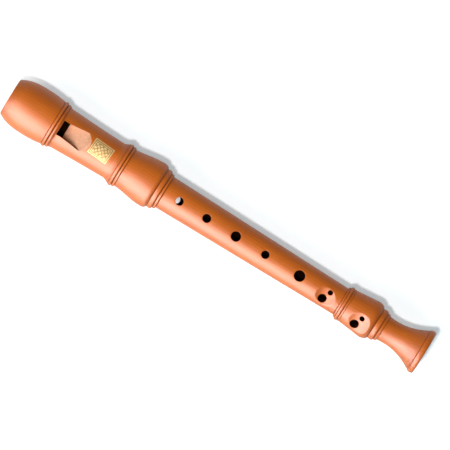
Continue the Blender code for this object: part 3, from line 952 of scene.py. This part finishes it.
    def drill(self, hole: FingerHole, bore_radius: float) -> tuple[Matrix, float, float, float]:
        """Give the cutter that carries a pit on into the bore.

        Args:
            hole: The hole.
            bore_radius: The bore's radius there.

        Returns:
            The cutter's frame, with Z outwards, and its outer radius, inner radius and length.
        """
        angle = math.radians(hole.angle)
        radius = self.surface_radius(hole.place, angle)
        rim_drop = radius - math.sqrt(radius ** 2 - (hole.radius + hole.rim) ** 2)
        start = radius - rim_drop - hole.rim - self.pit_depth * self.drill_start
        spot = Vector((hole.place, -radius * math.sin(angle), radius * math.cos(angle)))
        turn = Matrix.Rotation(angle + math.radians(hole.lean), 4, "X")
        length = start - self.drill_end * bore_radius
        sunk = Matrix.Translation((0.0, 0.0, start - radius - length / 2))
        frame = Matrix.Translation(spot) @ turn @ sunk
        return frame, hole.radius - self.drill_slack, hole.radius + self.drill_spread, length


@dataclass(frozen=True)
class Bench:
    """Where the recorder lies in the row's frame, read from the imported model, in metres."""

    axis_height: float
    roundness: float
    tip: float
    middle_shoulder: float
    foot_mouth: float

    @classmethod
    def from_frame(cls, upper_tenon_length: float, barrel_radius: float) -> Bench:
        """Read the pieces' places from their boxes.

        Args:
            upper_tenon_length: Length of the middle joint's upper tenon.
            barrel_radius: The head joint's widest radius. The solids are turned with flat sides,
                so they measure a little less, and the visual pieces keep to that.

        Returns:
            The bench.
        """
        foot_low, foot_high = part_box("foot_joint")
        head_low, head_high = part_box("head_joint")
        return cls(
            axis_height=(foot_low[2] + foot_high[2]) / 2,
            roundness=(head_high[1] - head_low[1]) / (2 * barrel_radius * MM),
            tip=head_low[0],
            middle_shoulder=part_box("middle_joint")[0][0] + upper_tenon_length * MM,
            foot_mouth=foot_low[0],
        )


@dataclass
class Finishes:
    """The materials that the pieces share."""

    outside: Material = field(default_factory=lambda: TurnedPearwood().build())
    bore: Material = field(default_factory=lambda: BoredPearwood().build())
    cut: Material = field(default_factory=lambda: KnifeCutPearwood().build())
    cedar: Material = field(default_factory=lambda: PlanedCedar().build())
    cork: Material = field(default_factory=lambda: SandedCork().build())


@dataclass(frozen=True)
class Workshop:
    """Makes objects from points in millimetres, and cuts one with another.

    start is where the zero of the piece in hand lies along X, in metres.
    """

    bench: Bench
    finishes: Finishes
    start: float
    round_sides: int = 96
    drill_sides: int = 64
    side_offset: float = 0.37

    def make(self, name: str, solid: Solid, *materials: Material) -> Thing:
        """Make an object from a solid.

        Args:
            name: The piece's name.
            solid: Its points, faces and zones.
            materials: Its material slots, the first of which is used where no zones are given.

        Returns:
            The object, smooth with sharp edges kept.
        """
        used = sorted({corner for face in solid.faces for corner in face})
        renumber = {old: new for new, old in enumerate(used)}
        spread = self.bench.roundness * MM
        axis = self.bench.axis_height
        points = [(self.start + place * MM, side * spread, axis + height * spread)
                  for place, side, height in (solid.points[number] for number in used)]
        mesh = bpy.data.meshes.new(name)
        mesh.from_pydata(points, [], [[renumber[corner] for corner in face] for face in solid.faces])
        for material in materials:
            mesh.materials.append(material)
        for polygon, zone in zip(mesh.polygons, solid.zones):
            polygon.material_index = zone
        mesh.validate()
        self.smooth(mesh)
        thing = bpy.data.objects.new(name, mesh)
        bpy.context.collection.objects.link(thing)
        return thing

    @staticmethod
    def smooth(mesh: bpy.types.Mesh) -> None:
        """Shade a mesh smooth and keep its sharp edges."""
        mesh.shade_smooth()
        mesh.set_sharp_from_angle(angle=SHARP_ANGLE)

    def lathe(self, name: str, outline: Sequence[Pair], material: Material) -> Thing:
        """Turn an outline into a closed solid with flat ends."""
        shell = Shell(outline=outline, sides=self.round_sides, coarse_step=math.inf)
        return self.make(name, shell.build(), material)

    def prism(self, name: str, points: list[Sequence[float]], material: Material) -> Thing:
        """Close two rings of equally many points into a solid.

        Args:
            name: The object's name.
            points: The points of one ring, then those of the other.
            material: Its finish.

        Returns:
            The object.
        """
        count = len(points) // 2
        faces = [list(range(count))[::-1], list(range(count, 2 * count))]
        faces += [(i, (i + 1) % count, count + (i + 1) % count, count + i) for i in range(count)]
        return self.make(name, Solid(points, faces), material)

    def wedge(self, name: str, near: Section, far: Section, material: Material) -> Thing:
        """Make a six-sided block along X whose ends differ in width, floor and roof.

        Args:
            name: The object's name.
            near: Place, width, and the heights of floor and roof where it starts.
            far: The same where it ends.
            material: Its finish.

        Returns:
            The object.
        """
        points = []
        for place, width, floor, roof in (near, far):
            half = width / 2
            corners = ((-half, floor), (half, floor), (half, roof), (-half, roof))
            points += [(place, side, height) for side, height in corners]
        return self.prism(name, points, material)

    def cone(self, name: str, frame: Matrix, outer: float, inner: float, length: float,
             material: Material, sides: int) -> Thing:
        """Make a capped cone centred in its own frame.

        Args:
            name: The object's name.
            frame: Its frame, with Z outwards.
            outer: Radius of its outer end.
            inner: Radius of its inner end.
            length: Its length.
            material: Its finish.
            sides: How many sides stand for a circle.

        Returns:
            The object.
        """
        points = []
        for level, radius in ((-length / 2, inner), (length / 2, outer)):
            for index in range(sides):
                turn = 2 * math.pi * (index + self.side_offset) / sides
                points.append(frame @ Vector((radius * math.cos(turn), radius * math.sin(turn), level)))
        return self.prism(name, points, material)

    def use(self, tools: Sequence[Thing], piece: Thing, work: Work = Work.CUT) -> None:
        """Work on a piece with tools, one after another, and throw the tools away.

        Args:
            tools: The tools.
            piece: The piece; its mesh is replaced by the result.
            work: What the tools do to it.
        """
        for tool in tools:
            modifier = piece.modifiers.new(tool.name, "BOOLEAN")
            modifier.operation = work.value
            modifier.solver = "EXACT"
            modifier.material_mode = "TRANSFER"
            modifier.object = tool
            bpy.context.view_layer.update()
            whole = piece.evaluated_get(bpy.context.evaluated_depsgraph_get())
            mesh = bpy.data.meshes.new_from_object(whole)
            piece.modifiers.clear()
            piece.data = mesh
            bpy.data.objects.remove(tool, do_unlink=True)
        self.smooth(piece.data)

    def bored_joint(self, name: str, shell: Shell, bore: Sequence[Pair],
                    bore_radius: Callable[[float], float]) -> Thing:
        """Turn a joint, ream its bore and drill its holes.

        Args:
            name: The joint's name.
            shell: Its outside.
            bore: Outline of its bore.
            bore_radius: Gives the bore's radius at a place.

        Returns:
            The joint.
        """
        inside = self.finishes.bore
        joint = self.make(name, shell.build(), self.finishes.outside, inside)
        tools = [self.lathe("bore_tool", bore, inside)]
        for number, hole in enumerate(shell.holes):
            drill = shell.drill(hole, bore_radius(hole.place))
            tools.append(self.cone(f"drill_{number}", *drill, inside, self.drill_sides))
        self.use(tools, joint)
        return joint


@dataclass
class HeadJoint:
    """The head: barrel-shaped beak, window and ramp, waist, rings and the socket's swelling."""

    tip_radius: float = 13.2
    barrel_radius: float = 17.5
    barrel_rise: float = 20.4
    barrel_rise_power: float = 3.0
    barrel_fall: float = 13.1
    barrel_end_radius: float = 16.4
    barrel_ring: Triple = (2.2, 17.05, 16.3)
    neck_ring: Triple = (1.8, 16.25, 15.7)
    neck_step: float = 2.3
    waist_top_radius: float = 14.75
    waist_end_radius: float = 13.5
    waist_length: float = 40.0
    waist_power: float = 1.3
    swell_cove: float = 4.1
    swell_cove_power: float = 1.5
    swell_ring: Triple = (2.3, 15.85, 15.2)
    band: Triple = (1.7, 15.3, 14.9)
    swell_start_radius: float = 14.3
    swell_radius: float = 16.6
    swell_rise: float = 19.7
    swell_crest: float = 1.8
    swell_fall: float = 3.6
    swell_end_radius: float = 14.3
    mouth_ring: Triple = (3.6, 14.75, 13.6)
    mouth_step_radius: float = 13.3
    mouth_step: float = 0.9
    mouth_edge: float = 0.9
    mouth_radius: float = 12.3
    bore_radius: float = 6.8
    socket_radius: float = 9.0
    socket_depth: float = 24.0
    edge: float = 0.3
    windway_widths: Pair = (12.0, 10.6)
    windway_floor: Pair = (6.0, 6.2)
    windway_tallness: Pair = (1.7, 1.1)
    window_lead: float = 1.6
    window_length: float = 4.6
    window_width: float = 10.9
    labium_height: float = 6.9
    labium_thickness: float = 0.2
    ramp_length: float = 18.8
    ramp_flare: float = 0.107
    undercut_length: float = 6.0
    undercut_inset: float = 0.2
    lip_cut_radius: float = 33.0
    lip_cut_place: float = 1.5
    lip_edge_height: float = 1.0
    lip_cut_sides: int = 240
    overrun: float = 3.0

    def __post_init__(self) -> None:
        """Draw the outside from the beak's tip and note where the waist and the window start."""
        line = Outline(0.0, self.tip_radius)
        line.ease(self.barrel_rise, self.barrel_radius, self.barrel_rise_power, steps=26)
        line.flare(self.barrel_fall, self.barrel_end_radius, power=2.0, steps=12)
        line.groove(self.barrel_ring[2], SHALLOW)
        line.bead(*self.barrel_ring)
        line.groove(self.neck_ring[2])
        line.bead(*self.neck_ring)
        line.groove(self.neck_ring[2], SHALLOW)
        line.round_over(self.neck_step, self.waist_top_radius)
        self.waist_place = line.place
        line.ease(self.waist_length, self.waist_end_radius, self.waist_power, steps=30)
        line.flare(self.swell_cove, self.swell_ring[2], self.swell_cove_power, steps=10)
        line.groove(self.swell_ring[2], SHALLOW)
        line.bead(*self.swell_ring)
        line.groove(self.band[2])
        line.bead(*self.band)
        line.groove(self.swell_start_radius)
        line.ogee(self.swell_rise, self.swell_radius)
        line.line(self.swell_crest, self.swell_radius)
        line.cove(self.swell_fall, self.swell_end_radius)
        line.bead(*self.mouth_ring)
        line.groove(self.mouth_step_radius)
        line.line(self.mouth_step, self.mouth_step_radius)
        line.cove(self.mouth_edge, self.mouth_radius)
        self.outline = line
        self.window_start = self.waist_place - self.window_lead
        self.labium = self.window_start + self.window_length

    def waist_radius(self, distance: float) -> float:
        """Find the outer radius at a distance below the top of the waist."""
        share = (1 - distance / self.waist_length) ** self.waist_power
        return self.waist_end_radius + (self.waist_top_radius - self.waist_end_radius) * share

    def build(self, shop: Workshop) -> Thing:
        """Turn the head, then bore it and cut its window, ramp, windway and beak.

        Args:
            shop: The workshop, set to the beak's tip.

        Returns:
            The head joint.
        """
        outside, bore_finish, cut = shop.finishes.outside, shop.finishes.bore, shop.finishes.cut
        shell = Shell(outline=self.outline.points, sides=192, coarse_step=0.6)
        head = shop.make("head_shell", shell.build(), outside)
        length = self.outline.place
        socket = length - self.socket_depth
        mouth = self.socket_radius + self.edge
        bore = [(-self.overrun, self.bore_radius), (socket, self.bore_radius),
                (socket + SHOULDER_RUN, self.socket_radius), (length - self.edge, self.socket_radius),
                (length, mouth), (length + self.overrun, mouth)]
        under = self.labium_height - self.labium_thickness
        under_width = self.window_width - 2 * self.undercut_inset
        under_end = self.labium + self.undercut_length
        top = self.barrel_radius + self.overrun
        floor = self.bore_radius / 2
        shop.use([
            shop.lathe("bore_tool", bore, bore_finish),
            self.windway_tool(shop, cut),
            shop.wedge("undercut_tool", (self.window_start - self.overrun, under_width, 0.0, under),
                       (under_end, under_width, 0.0, under), bore_finish),
            shop.wedge("window_tool", (self.window_start, self.window_width, floor, top),
                       (self.labium, self.window_width, floor, top), cut),
            self.ramp_tool(shop, top, cut),
            self.lip_tool(shop, outside),
        ], head)
        return head

    def windway_tool(self, shop: Workshop, material: Material) -> Thing:
        """Make the wedge that cuts the windway's roof and sides.

        Args:
            shop: The workshop.
            material: The finish that it leaves.

        Returns:
            The tool.
        """
        widths = self.windway_widths
        roofs = [floor + tall for floor, tall in zip(self.windway_floor, self.windway_tallness)]
        sections = []
        for place in (-self.overrun, self.window_start + self.window_length / 2):
            share = place / self.window_start
            sections.append((place, widths[0] + (widths[1] - widths[0]) * share, 0.0,
                             roofs[0] + (roofs[1] - roofs[0]) * share))
        return shop.wedge("windway_tool", *sections, material)

    def ramp_tool(self, shop: Workshop, top: float, material: Material) -> Thing:
        """Make the wedge that pares the ramp down to the labium.

        Args:
            shop: The workshop.
            top: A height over everything.
            material: The finish that it leaves.

        Returns:
            The tool.
        """
        outer = self.waist_radius(self.window_length + self.ramp_length - self.window_lead)
        slope = (outer - self.labium_height) / self.ramp_length
        sections = [(self.labium + step, self.window_width + 2 * step * self.ramp_flare,
                     self.labium_height + step * slope, top)
                    for step in (-self.window_length / 2, self.ramp_length + self.overrun)]
        return shop.wedge("ramp_tool", *sections, material)

    def lip_tool(self, shop: Workshop, material: Material) -> Thing:
        """Make the big drum that hollows the underside of the beak.

        Args:
            shop: The workshop.
            material: The finish that it leaves.

        Returns:
            The tool.
        """
        radius, wide = self.lip_cut_radius, 4 * self.barrel_radius
        drop = math.sqrt(radius ** 2 - self.lip_cut_place ** 2) - self.lip_edge_height
        frame = Matrix.Translation((self.lip_cut_place, 0.0, -drop)) @ Matrix.Rotation(math.pi / 2, 4, "X")
        return shop.cone("lip_tool", frame, radius, radius, wide, material, self.lip_cut_sides)


@dataclass
class Block:
    """The cedar plug in the beak, whose raised top is the windway's floor."""

    clearance: float = 0.1
    exit_chamfer: float = 0.5

    def build(self, shop: Workshop, head: HeadJoint) -> Thing:
        """Turn the plug, add its raised floor and cut it flush with the beak.

        Args:
            shop: The workshop, set to the beak's tip.
            head: The head joint that it fits.

        Returns:
            The block.
        """
        cedar = shop.finishes.cedar
        length = head.window_start
        radius = head.bore_radius - self.clearance
        outline = [(0.0, radius), (length - self.exit_chamfer, radius),
                   (length, radius - self.exit_chamfer)]
        block = shop.lathe("block_plug", outline, cedar)
        floors = head.windway_floor
        top = head.bore_radius + head.overrun
        wide = 4 * head.bore_radius
        shop.use([shop.wedge("trim_tool", (-head.overrun, wide, floors[0] / 2, top),
                             (length + head.overrun, wide, floors[1] / 2, top), cedar)], block)
        widths = [width - 2 * self.clearance for width in head.windway_widths]
        shop.use([shop.wedge("saddle", (0.0, widths[0], 0.0, floors[0]),
                             (length, widths[1], 0.0, floors[1]), cedar)], block, Work.JOIN)
        shop.use([head.lip_tool(shop, cedar)], block)
        return block


@dataclass
class MiddleJoint:
    """The middle: a plain taper with six finger holes, the thumb hole and a tenon at each end."""

    length: float = 137.7
    top_radius: float = 12.0
    end_radius: float = 10.15
    bore: Pair = (6.2, 4.4)
    tenon_lengths: Pair = (23.7, 10.3)
    tenon_radii: Pair = (8.7, 7.2)
    cork_lengths: Pair = (16.0, 5.8)
    cork_thickness: float = 0.9
    cork_gap: float = 0.2
    cork_clearance: float = 0.15
    tenon_clearance: float = 0.3
    edge: float = 0.35
    edge_steps: Triple = (0.3, 0.7, 1.0)
    shoulder_reach: float = 0.24
    holes: tuple[FingerHole, ...] = (
        FingerHole(11.4, 0.0, 2.8),
        FingerHole(32.8, 0.0, 2.95),
        FingerHole(55.6, 0.0, 3.4),
        FingerHole(78.7, 0.0, 2.75),
        FingerHole(105.5, 0.0, 3.8),
        FingerHole(126.1, 33.0, 2.95),
        FingerHole(128.9, -8.0, 1.75, 8.0, 0.2),
        FingerHole(8.6, 180.0, 2.8),
    )
    dish: Dish = Dish(127.5, 17.0, 2.0, 13.0)

    def tenon(self, end: int) -> list[Pair]:
        """Draw a tenon from its shoulder outwards.

        Args:
            end: 0 for the upper tenon and 1 for the lower one.

        Returns:
            Points of distance from the shoulder and radius.
        """
        length, radius = self.tenon_lengths[end], self.tenon_radii[end]
        land = (length - self.cork_lengths[end]) / 2 - self.cork_gap
        recess = radius - self.cork_thickness
        return [(0.0, radius), (land, radius), (land, recess), (length - land, recess),
                (length - land, radius), (length - self.edge, radius), (length, radius - self.edge)]

    def bore_radius(self, place: float) -> float:
        """Find the bore's radius at a place."""
        share = (place + self.tenon_lengths[0]) / (self.length + sum(self.tenon_lengths))
        return self.bore[0] + (self.bore[1] - self.bore[0]) * share

    def build(self, shop: Workshop) -> Thing:
        """Turn the middle joint, then bore it and drill its holes.

        Args:
            shop: The workshop, set to the middle's upper shoulder.

        Returns:
            The middle joint.
        """
        top, end = -self.shoulder_reach, self.length + self.shoulder_reach
        bends = [share * math.pi / 2 for share in self.edge_steps]
        falls = [(self.edge * (1 - math.cos(bend)), self.edge * (1 - math.sin(bend))) for bend in bends]
        outline = [(min(-step, top), radius) for step, radius in reversed(self.tenon(0))]
        outline.append((top, self.top_radius - self.edge))
        outline += [(top + near, self.top_radius - far) for near, far in falls]
        outline.append((end - self.edge, self.end_radius))
        outline += [(end - far, self.end_radius - near) for near, far in falls]
        outline += [(max(self.length + step, end), radius) for step, radius in self.tenon(1)]
        first, last = -self.tenon_lengths[0], self.length + self.tenon_lengths[1]
        bore = [(first - OVERRUN, self.bore[0] + self.edge), (first, self.bore[0] + self.edge),
                (first + self.edge, self.bore[0]), (last, self.bore[1]), (last + OVERRUN, self.bore[1])]
        shell = Shell(outline=outline, dishes=(self.dish,), holes=self.holes)
        return shop.bored_joint("middle_shell", shell, bore, self.bore_radius)


@dataclass
class TenonCork:
    """A cork sleeve in a tenon's recess."""

    chamfer: float = 0.25

    def build(self, bench: Bench, finishes: Finishes, middle: MiddleJoint, end: int) -> Thing:
        """Make the sleeve of one tenon.

        Args:
            bench: Where the recorder lies.
            finishes: The shared materials.
            middle: The middle joint that it is wound on.
            end: 0 for the upper tenon and 1 for the lower one.

        Returns:
            The sleeve.
        """
        radius = middle.tenon_radii[end]
        outer = radius + middle.tenon_clearance - middle.cork_clearance
        inner = radius - middle.cork_thickness + middle.cork_gap
        length = middle.cork_lengths[end]
        outline = [(0.0, outer - self.chamfer), (self.chamfer, outer), (length / 2, outer),
                   (length - self.chamfer, outer), (length, outer - self.chamfer)]
        centre = middle.length + middle.tenon_lengths[1] / 2 if end else -middle.tenon_lengths[0] / 2
        shop = Workshop(bench, finishes, bench.middle_shoulder + (centre - length / 2) * MM)
        sleeve = shop.lathe(("upper_cork_sleeve", "lower_cork_sleeve")[end], outline, finishes.cork)
        hollow = [(-OVERRUN, inner), (length + OVERRUN, inner)]
        shop.use([shop.lathe("hollow_tool", hollow, finishes.cork)], sleeve)
        return sleeve


@dataclass
class FootJoint:
    """The foot: rings, a bulb with the seventh finger's holes, a stem and the bell."""

    mouth_radius: float = 10.8
    mouth_edge: Pair = (1.2, 11.5)
    upper_ring: Triple = (2.1, 12.6, 12.0)
    band: Pair = (1.0, 12.2)
    bulb_start_radius: float = 12.0
    bulb: Pair = (16.6, 13.7)
    bulb_fall: Pair = (5.2, 10.9)
    lower_ring: Triple = (3.8, 11.35, 10.6)
    lower_step_radius: float = 10.3
    lower_step: Pair = (1.8, 9.8)
    stem_start_radius: float = 9.0
    stem: Pair = (6.1, 8.7)
    bell: Pair = (21.1, 15.1)
    bell_power: float = 1.95
    rim: Triple = (4.2, 16.1, 15.0)
    socket_radius: float = 7.5
    socket_depth: float = 10.7
    bore: Pair = (4.4, 5.1)
    edge: float = 0.35
    holes: tuple[FingerHole, ...] = (
        FingerHole(15.2, 44.0, 3.05),
        FingerHole(17.9, 12.0, 1.8, 12.0, 0.2),
    )
    dish: Dish = Dish(16.55, 29.0, 2.05, 15.5)

    def draw(self) -> Outline:
        """Draw the outside from the mouth.

        Returns:
            The outline.
        """
        line = Outline(0.0, self.mouth_radius)
        line.round_over(*self.mouth_edge, steps=6)
        line.groove(self.upper_ring[2], SHALLOW)
        line.bead(*self.upper_ring)
        line.groove(self.band[1], SHALLOW)
        line.line(*self.band)
        line.groove(self.bulb_start_radius, SHALLOW)
        line.line(*self.bulb)
        line.cove(*self.bulb_fall, steps=14)
        line.bead(*self.lower_ring)
        line.groove(self.lower_step_radius)
        line.line(*self.lower_step)
        line.groove(self.stem_start_radius, SHALLOW)
        line.ease(*self.stem, power=2.0)
        line.flare(*self.bell, self.bell_power, steps=30)
        line.groove(self.bell[1], SHALLOW)
        line.bead(*self.rim, steps=20)
        return line

    def build(self, shop: Workshop) -> Thing:
        """Turn the foot, then bore it, open its socket and drill its holes.

        Args:
            shop: The workshop, set to the foot's mouth.

        Returns:
            The foot joint.
        """
        line = self.draw()
        length = line.place
        mouth, end = self.socket_radius + self.edge, self.bore[1] + self.edge
        bore = [(-OVERRUN, mouth), (0.0, mouth), (self.edge, self.socket_radius),
                (self.socket_depth, self.socket_radius), (self.socket_depth + SHOULDER_RUN, self.bore[0]),
                (length - self.edge, self.bore[1]), (length, end), (length + OVERRUN, end)]
        shell = Shell(outline=line.points, dishes=(self.dish,), holes=self.holes)
        return shop.bored_joint("foot_shell", shell, bore, lambda place: self.bore[0])


@dataclass
class GoldPlate:
    """A blank gold plate under the window, with a plain lattice."""

    centre: float = 70.8
    length: float = 14.7
    half_width: float = 5.8
    turn: float = -4.0
    skew: float = 4.0
    lift: float = 0.02
    thickness: float = 0.05
    steps: int = 24

    def build(self, shop: Workshop, head: HeadJoint) -> Thing:
        """Lay the plate on the waist.

        Args:
            shop: The workshop, set to the beak's tip.
            head: The head joint that carries it.

        Returns:
            The plate.
        """
        points, spread, faces = [], [], []
        tilt = math.radians(self.skew)
        count = self.steps + 1
        for level in (self.lift + self.thickness, self.lift):
            for row in range(count):
                along = self.length * (row / self.steps - 0.5)
                for column in range(count):
                    across = self.half_width * (2 * column / self.steps - 1)
                    place = self.centre + along * math.cos(tilt) - across * math.sin(tilt)
                    radius = head.waist_radius(place - head.waist_place)
                    turned = across * math.cos(tilt) + along * math.sin(tilt)
                    angle = math.radians(self.turn) + turned / radius
                    reach = radius + level
                    points.append((place, -reach * math.sin(angle), reach * math.cos(angle)))
                    spread.append(Vector((along, across, 0.0)) * MM)
        under = count * count
        for row in range(self.steps):
            for column in range(self.steps):
                corner = row * count + column
                top = (corner, corner + 1, corner + count + 1, corner + count)
                faces += [top, tuple(under + number for number in reversed(top))]
        edge = [row * count + column for column, row in walk_round(0, self.steps, 0, self.steps)]
        for number, after in zip(edge, edge[1:] + edge[:1]):
            faces.append((number, under + number, under + after, after))
        material = StampedFoil().build(self.length / 2, self.half_width)
        plate = shop.make("gold_plate", Solid(points, faces), material)
        layer = plate.data.attributes.new("plate", "FLOAT_VECTOR", "POINT")
        for item, value in zip(layer.data, spread):
            item.vector = value
        return plate


@dataclass(frozen=True)
class Lamp:
    """A soft rectangular lamp aimed at the recorder.

    azimuth runs from +X towards +Y and elevation up from the floor, in degrees. distance and
    size, its two sides, are in metres, and power is in watts. glossy and diffuse say whether it
    makes highlights and lights matt surfaces.
    """

    name: str
    azimuth: float
    elevation: float
    distance: float
    size: Pair
    power: float
    glossy: bool = True
    diffuse: bool = True
    colour: str = "#FFFFFF"

    def hang(self) -> None:
        """Hang the lamp over the floor."""
        data = bpy.data.lights.new(self.name, "AREA")
        data.color = linear(self.colour)[:3]
        data.shape = "RECTANGLE"
        data.size, data.size_y = self.size
        data.energy = self.power
        lamp = bpy.data.objects.new(self.name, data)
        lamp.visible_glossy = self.glossy
        lamp.visible_diffuse = self.diffuse
        bpy.context.collection.objects.link(lamp)
        turn, rise = math.radians(self.azimuth), math.radians(self.elevation)
        toward = Vector((math.cos(rise) * math.cos(turn), math.cos(rise) * math.sin(turn), math.sin(rise)))
        lamp.location = toward * self.distance
        lamp.rotation_euler = toward.to_track_quat("Z", "Y").to_euler()


@dataclass
class Studio:
    """White sweep, soft light from the image's left, and a camera straight above.

    The photograph is taken as 450 pixels square. In it the bore's axis falls to the right by
    axis_angle, and millimetres_per_pixel gives its scale at the height of the bore. The
    camera's distance and the floor's sizes are in metres.
    """

    frame_pixels: float = 450.0
    millimetres_per_pixel: float = 0.6671
    axis_angle: float = 31.83
    tip_pixel: Pair = (9.88, 95.88)
    distance: float = 6.0
    sensor: float = 36.0
    clip: Pair = (0.05, 20.0)
    lamps: tuple[Lamp, ...] = (
        Lamp("key_softbox", 242.0, 42.0, 0.9, (1.0, 0.4), 7.9),
        Lamp("gloss_panel", 250.0, 28.0, 0.9, (1.5, 1.2), 105.0, diffuse=False, colour="#DCE6FF"),
        Lamp("top_lamp", 268.0, 79.0, 3.0, (0.25, 0.25), 49.0, glossy=False),
    )
    paper: str = "#F2F2F2"
    paper_glow: str = "#EAFBFF"
    glow_reach: Pair = (0.14, 0.8)
    glow_strength: Pair = (0.42, 1.0)
    floor_half: float = 1.5
    room_strength: float = 0.12
    room_light: str = "#EEF6FF"
    gloss_share: float = 0.3

    def camera(self, bench: Bench) -> None:
        """Hang the camera over the point that the photograph's centre shows.

        Args:
            bench: Where the recorder lies.
        """
        angle = math.radians(self.axis_angle)
        centre = (self.frame_pixels - 1) / 2
        right = (centre - self.tip_pixel[0]) * self.millimetres_per_pixel * MM
        down = (centre - self.tip_pixel[1]) * self.millimetres_per_pixel * MM
        along = right * math.cos(angle) + down * math.sin(angle)
        across = right * math.sin(angle) - down * math.cos(angle)
        data = bpy.data.cameras.new("studio_camera")
        data.sensor_width = self.sensor
        data.lens = self.sensor * self.distance / (self.frame_pixels * self.millimetres_per_pixel * MM)
        data.clip_start, data.clip_end = self.clip
        camera = bpy.data.objects.new("studio_camera", data)
        bpy.context.collection.objects.link(camera)
        camera.location = (bench.tip + along, across, bench.axis_height + self.distance)
        camera.rotation_euler = (0.0, 0.0, angle)
        bpy.context.scene.camera = camera

    def seen(self, add: Add) -> Node:
        """Give one for rays that are seen straight or through glass, less in a gloss and nought for light.

        Args:
            add: Adds a node.

        Returns:
            The node with the value.
        """
        path = add("LightPath").outputs
        straight = add("Math", {"operation": "MAXIMUM"},
                       {0: path["Is Camera Ray"], 1: path["Is Transmission Ray"]})
        return add("Math", {"operation": "MULTIPLY_ADD", 1: self.gloss_share},
                   {0: path["Is Glossy Ray"], 2: straight})

    def sweep(self, height: float) -> None:
        """Lay the white floor, which glows more and more to all sides.

        Args:
            height: The floor's height in metres.
        """
        mesh = bpy.data.meshes.new("paper_sweep")
        half = self.floor_half
        corners = ((-half, -half), (half, -half), (half, half), (-half, half))
        mesh.from_pydata([(*corner, height) for corner in corners], [], [(0, 1, 2, 3)])
        floor = bpy.data.objects.new("paper_sweep", mesh)
        bpy.context.collection.objects.link(floor)
        material, add = new_material("white_paper")
        paper = add("BsdfDiffuse", {"Color": linear(self.paper)})
        away = add("VectorMath", {"operation": "LENGTH"}, {0: add("TexCoord").outputs["Object"]})
        level = add("MapRange", {"From Min": self.glow_reach[0], "From Max": self.glow_reach[1],
                                 "To Min": self.glow_strength[0], "To Max": self.glow_strength[1]},
                    {"Value": away.outputs["Value"]})
        glow = add("Emission", {"Color": linear(self.paper_glow)}, {"Strength": level})
        lit = add("AddShader", links={0: paper, 1: glow})
        mixed = add("MixShader", links={0: self.seen(add), 1: paper, 2: lit})
        add("OutputMaterial", links={"Surface": mixed})
        mesh.materials.append(material)
        floor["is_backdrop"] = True

    def world(self) -> None:
        """Give the room an even light, and show it white to the camera and dimmer in a gloss."""
        world = bpy.data.worlds.new("white_room")
        world.use_nodes = True
        world.node_tree.nodes.clear()
        add = partial(add_node, world.node_tree)
        seen = self.seen(add)
        level = add("MapRange", {"To Min": self.room_strength, "To Max": 1.0}, {"Value": seen})
        tint = lay_over(add, self.room_light, [(seen, "#FFFFFF", 1.0)])
        add("OutputWorld", links={"Surface": add("Background", links={"Color": tint, "Strength": level})})
        bpy.context.scene.world = world

    def build(self, bench: Bench) -> None:
        """Set up the camera, the lamps, the room's light and the colour management.

        Args:
            bench: Where the recorder lies.
        """
        self.camera(bench)
        for lamp in self.lamps:
            lamp.hang()
        self.world()
        bpy.context.scene.view_settings.view_transform = "Standard"


def main() -> None:
    """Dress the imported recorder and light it."""
    logging.basicConfig(level=logging.INFO, format="%(name)s: %(message)s")
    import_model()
    finishes = Finishes()
    middle = MiddleJoint()
    head = HeadJoint()
    bench = Bench.from_frame(middle.tenon_lengths[0], head.barrel_radius)
    at_tip, at_shoulder, at_mouth = (Workshop(bench, finishes, start)
                                     for start in (bench.tip, bench.middle_shoulder, bench.foot_mouth))
    studio = Studio()
    studio.build(bench)

    pieces = [
        (head.build(at_tip), "head", "head_joint", "pearwood"),
        (Block().build(at_tip, head), "block", "block", "cedar"),
        (middle.build(at_shoulder), "middle", "middle_joint", "pearwood"),
        (TenonCork().build(bench, finishes, middle, 0), "upper_cork", "upper_tenon_cork", "cork"),
        (TenonCork().build(bench, finishes, middle, 1), "lower_cork", "lower_tenon_cork", "cork"),
        (FootJoint().build(at_mouth), "foot", "foot_joint", "pearwood"),
    ]
    for piece, body, node, slot in pieces:
        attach(piece, body)
        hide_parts(node)
        LOG.info("%s has %d faces and rides on %s", piece.name, len(piece.data.polygons), body)
    plate = GoldPlate().build(at_tip, head)
    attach(plate, "head")
    LOG.info("%s has %d faces and rides on head", plate.name, len(plate.data.polygons))

    visual_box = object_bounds()
    studio.sweep(visual_box[0][2])


if __name__ == "__main__":
    main()
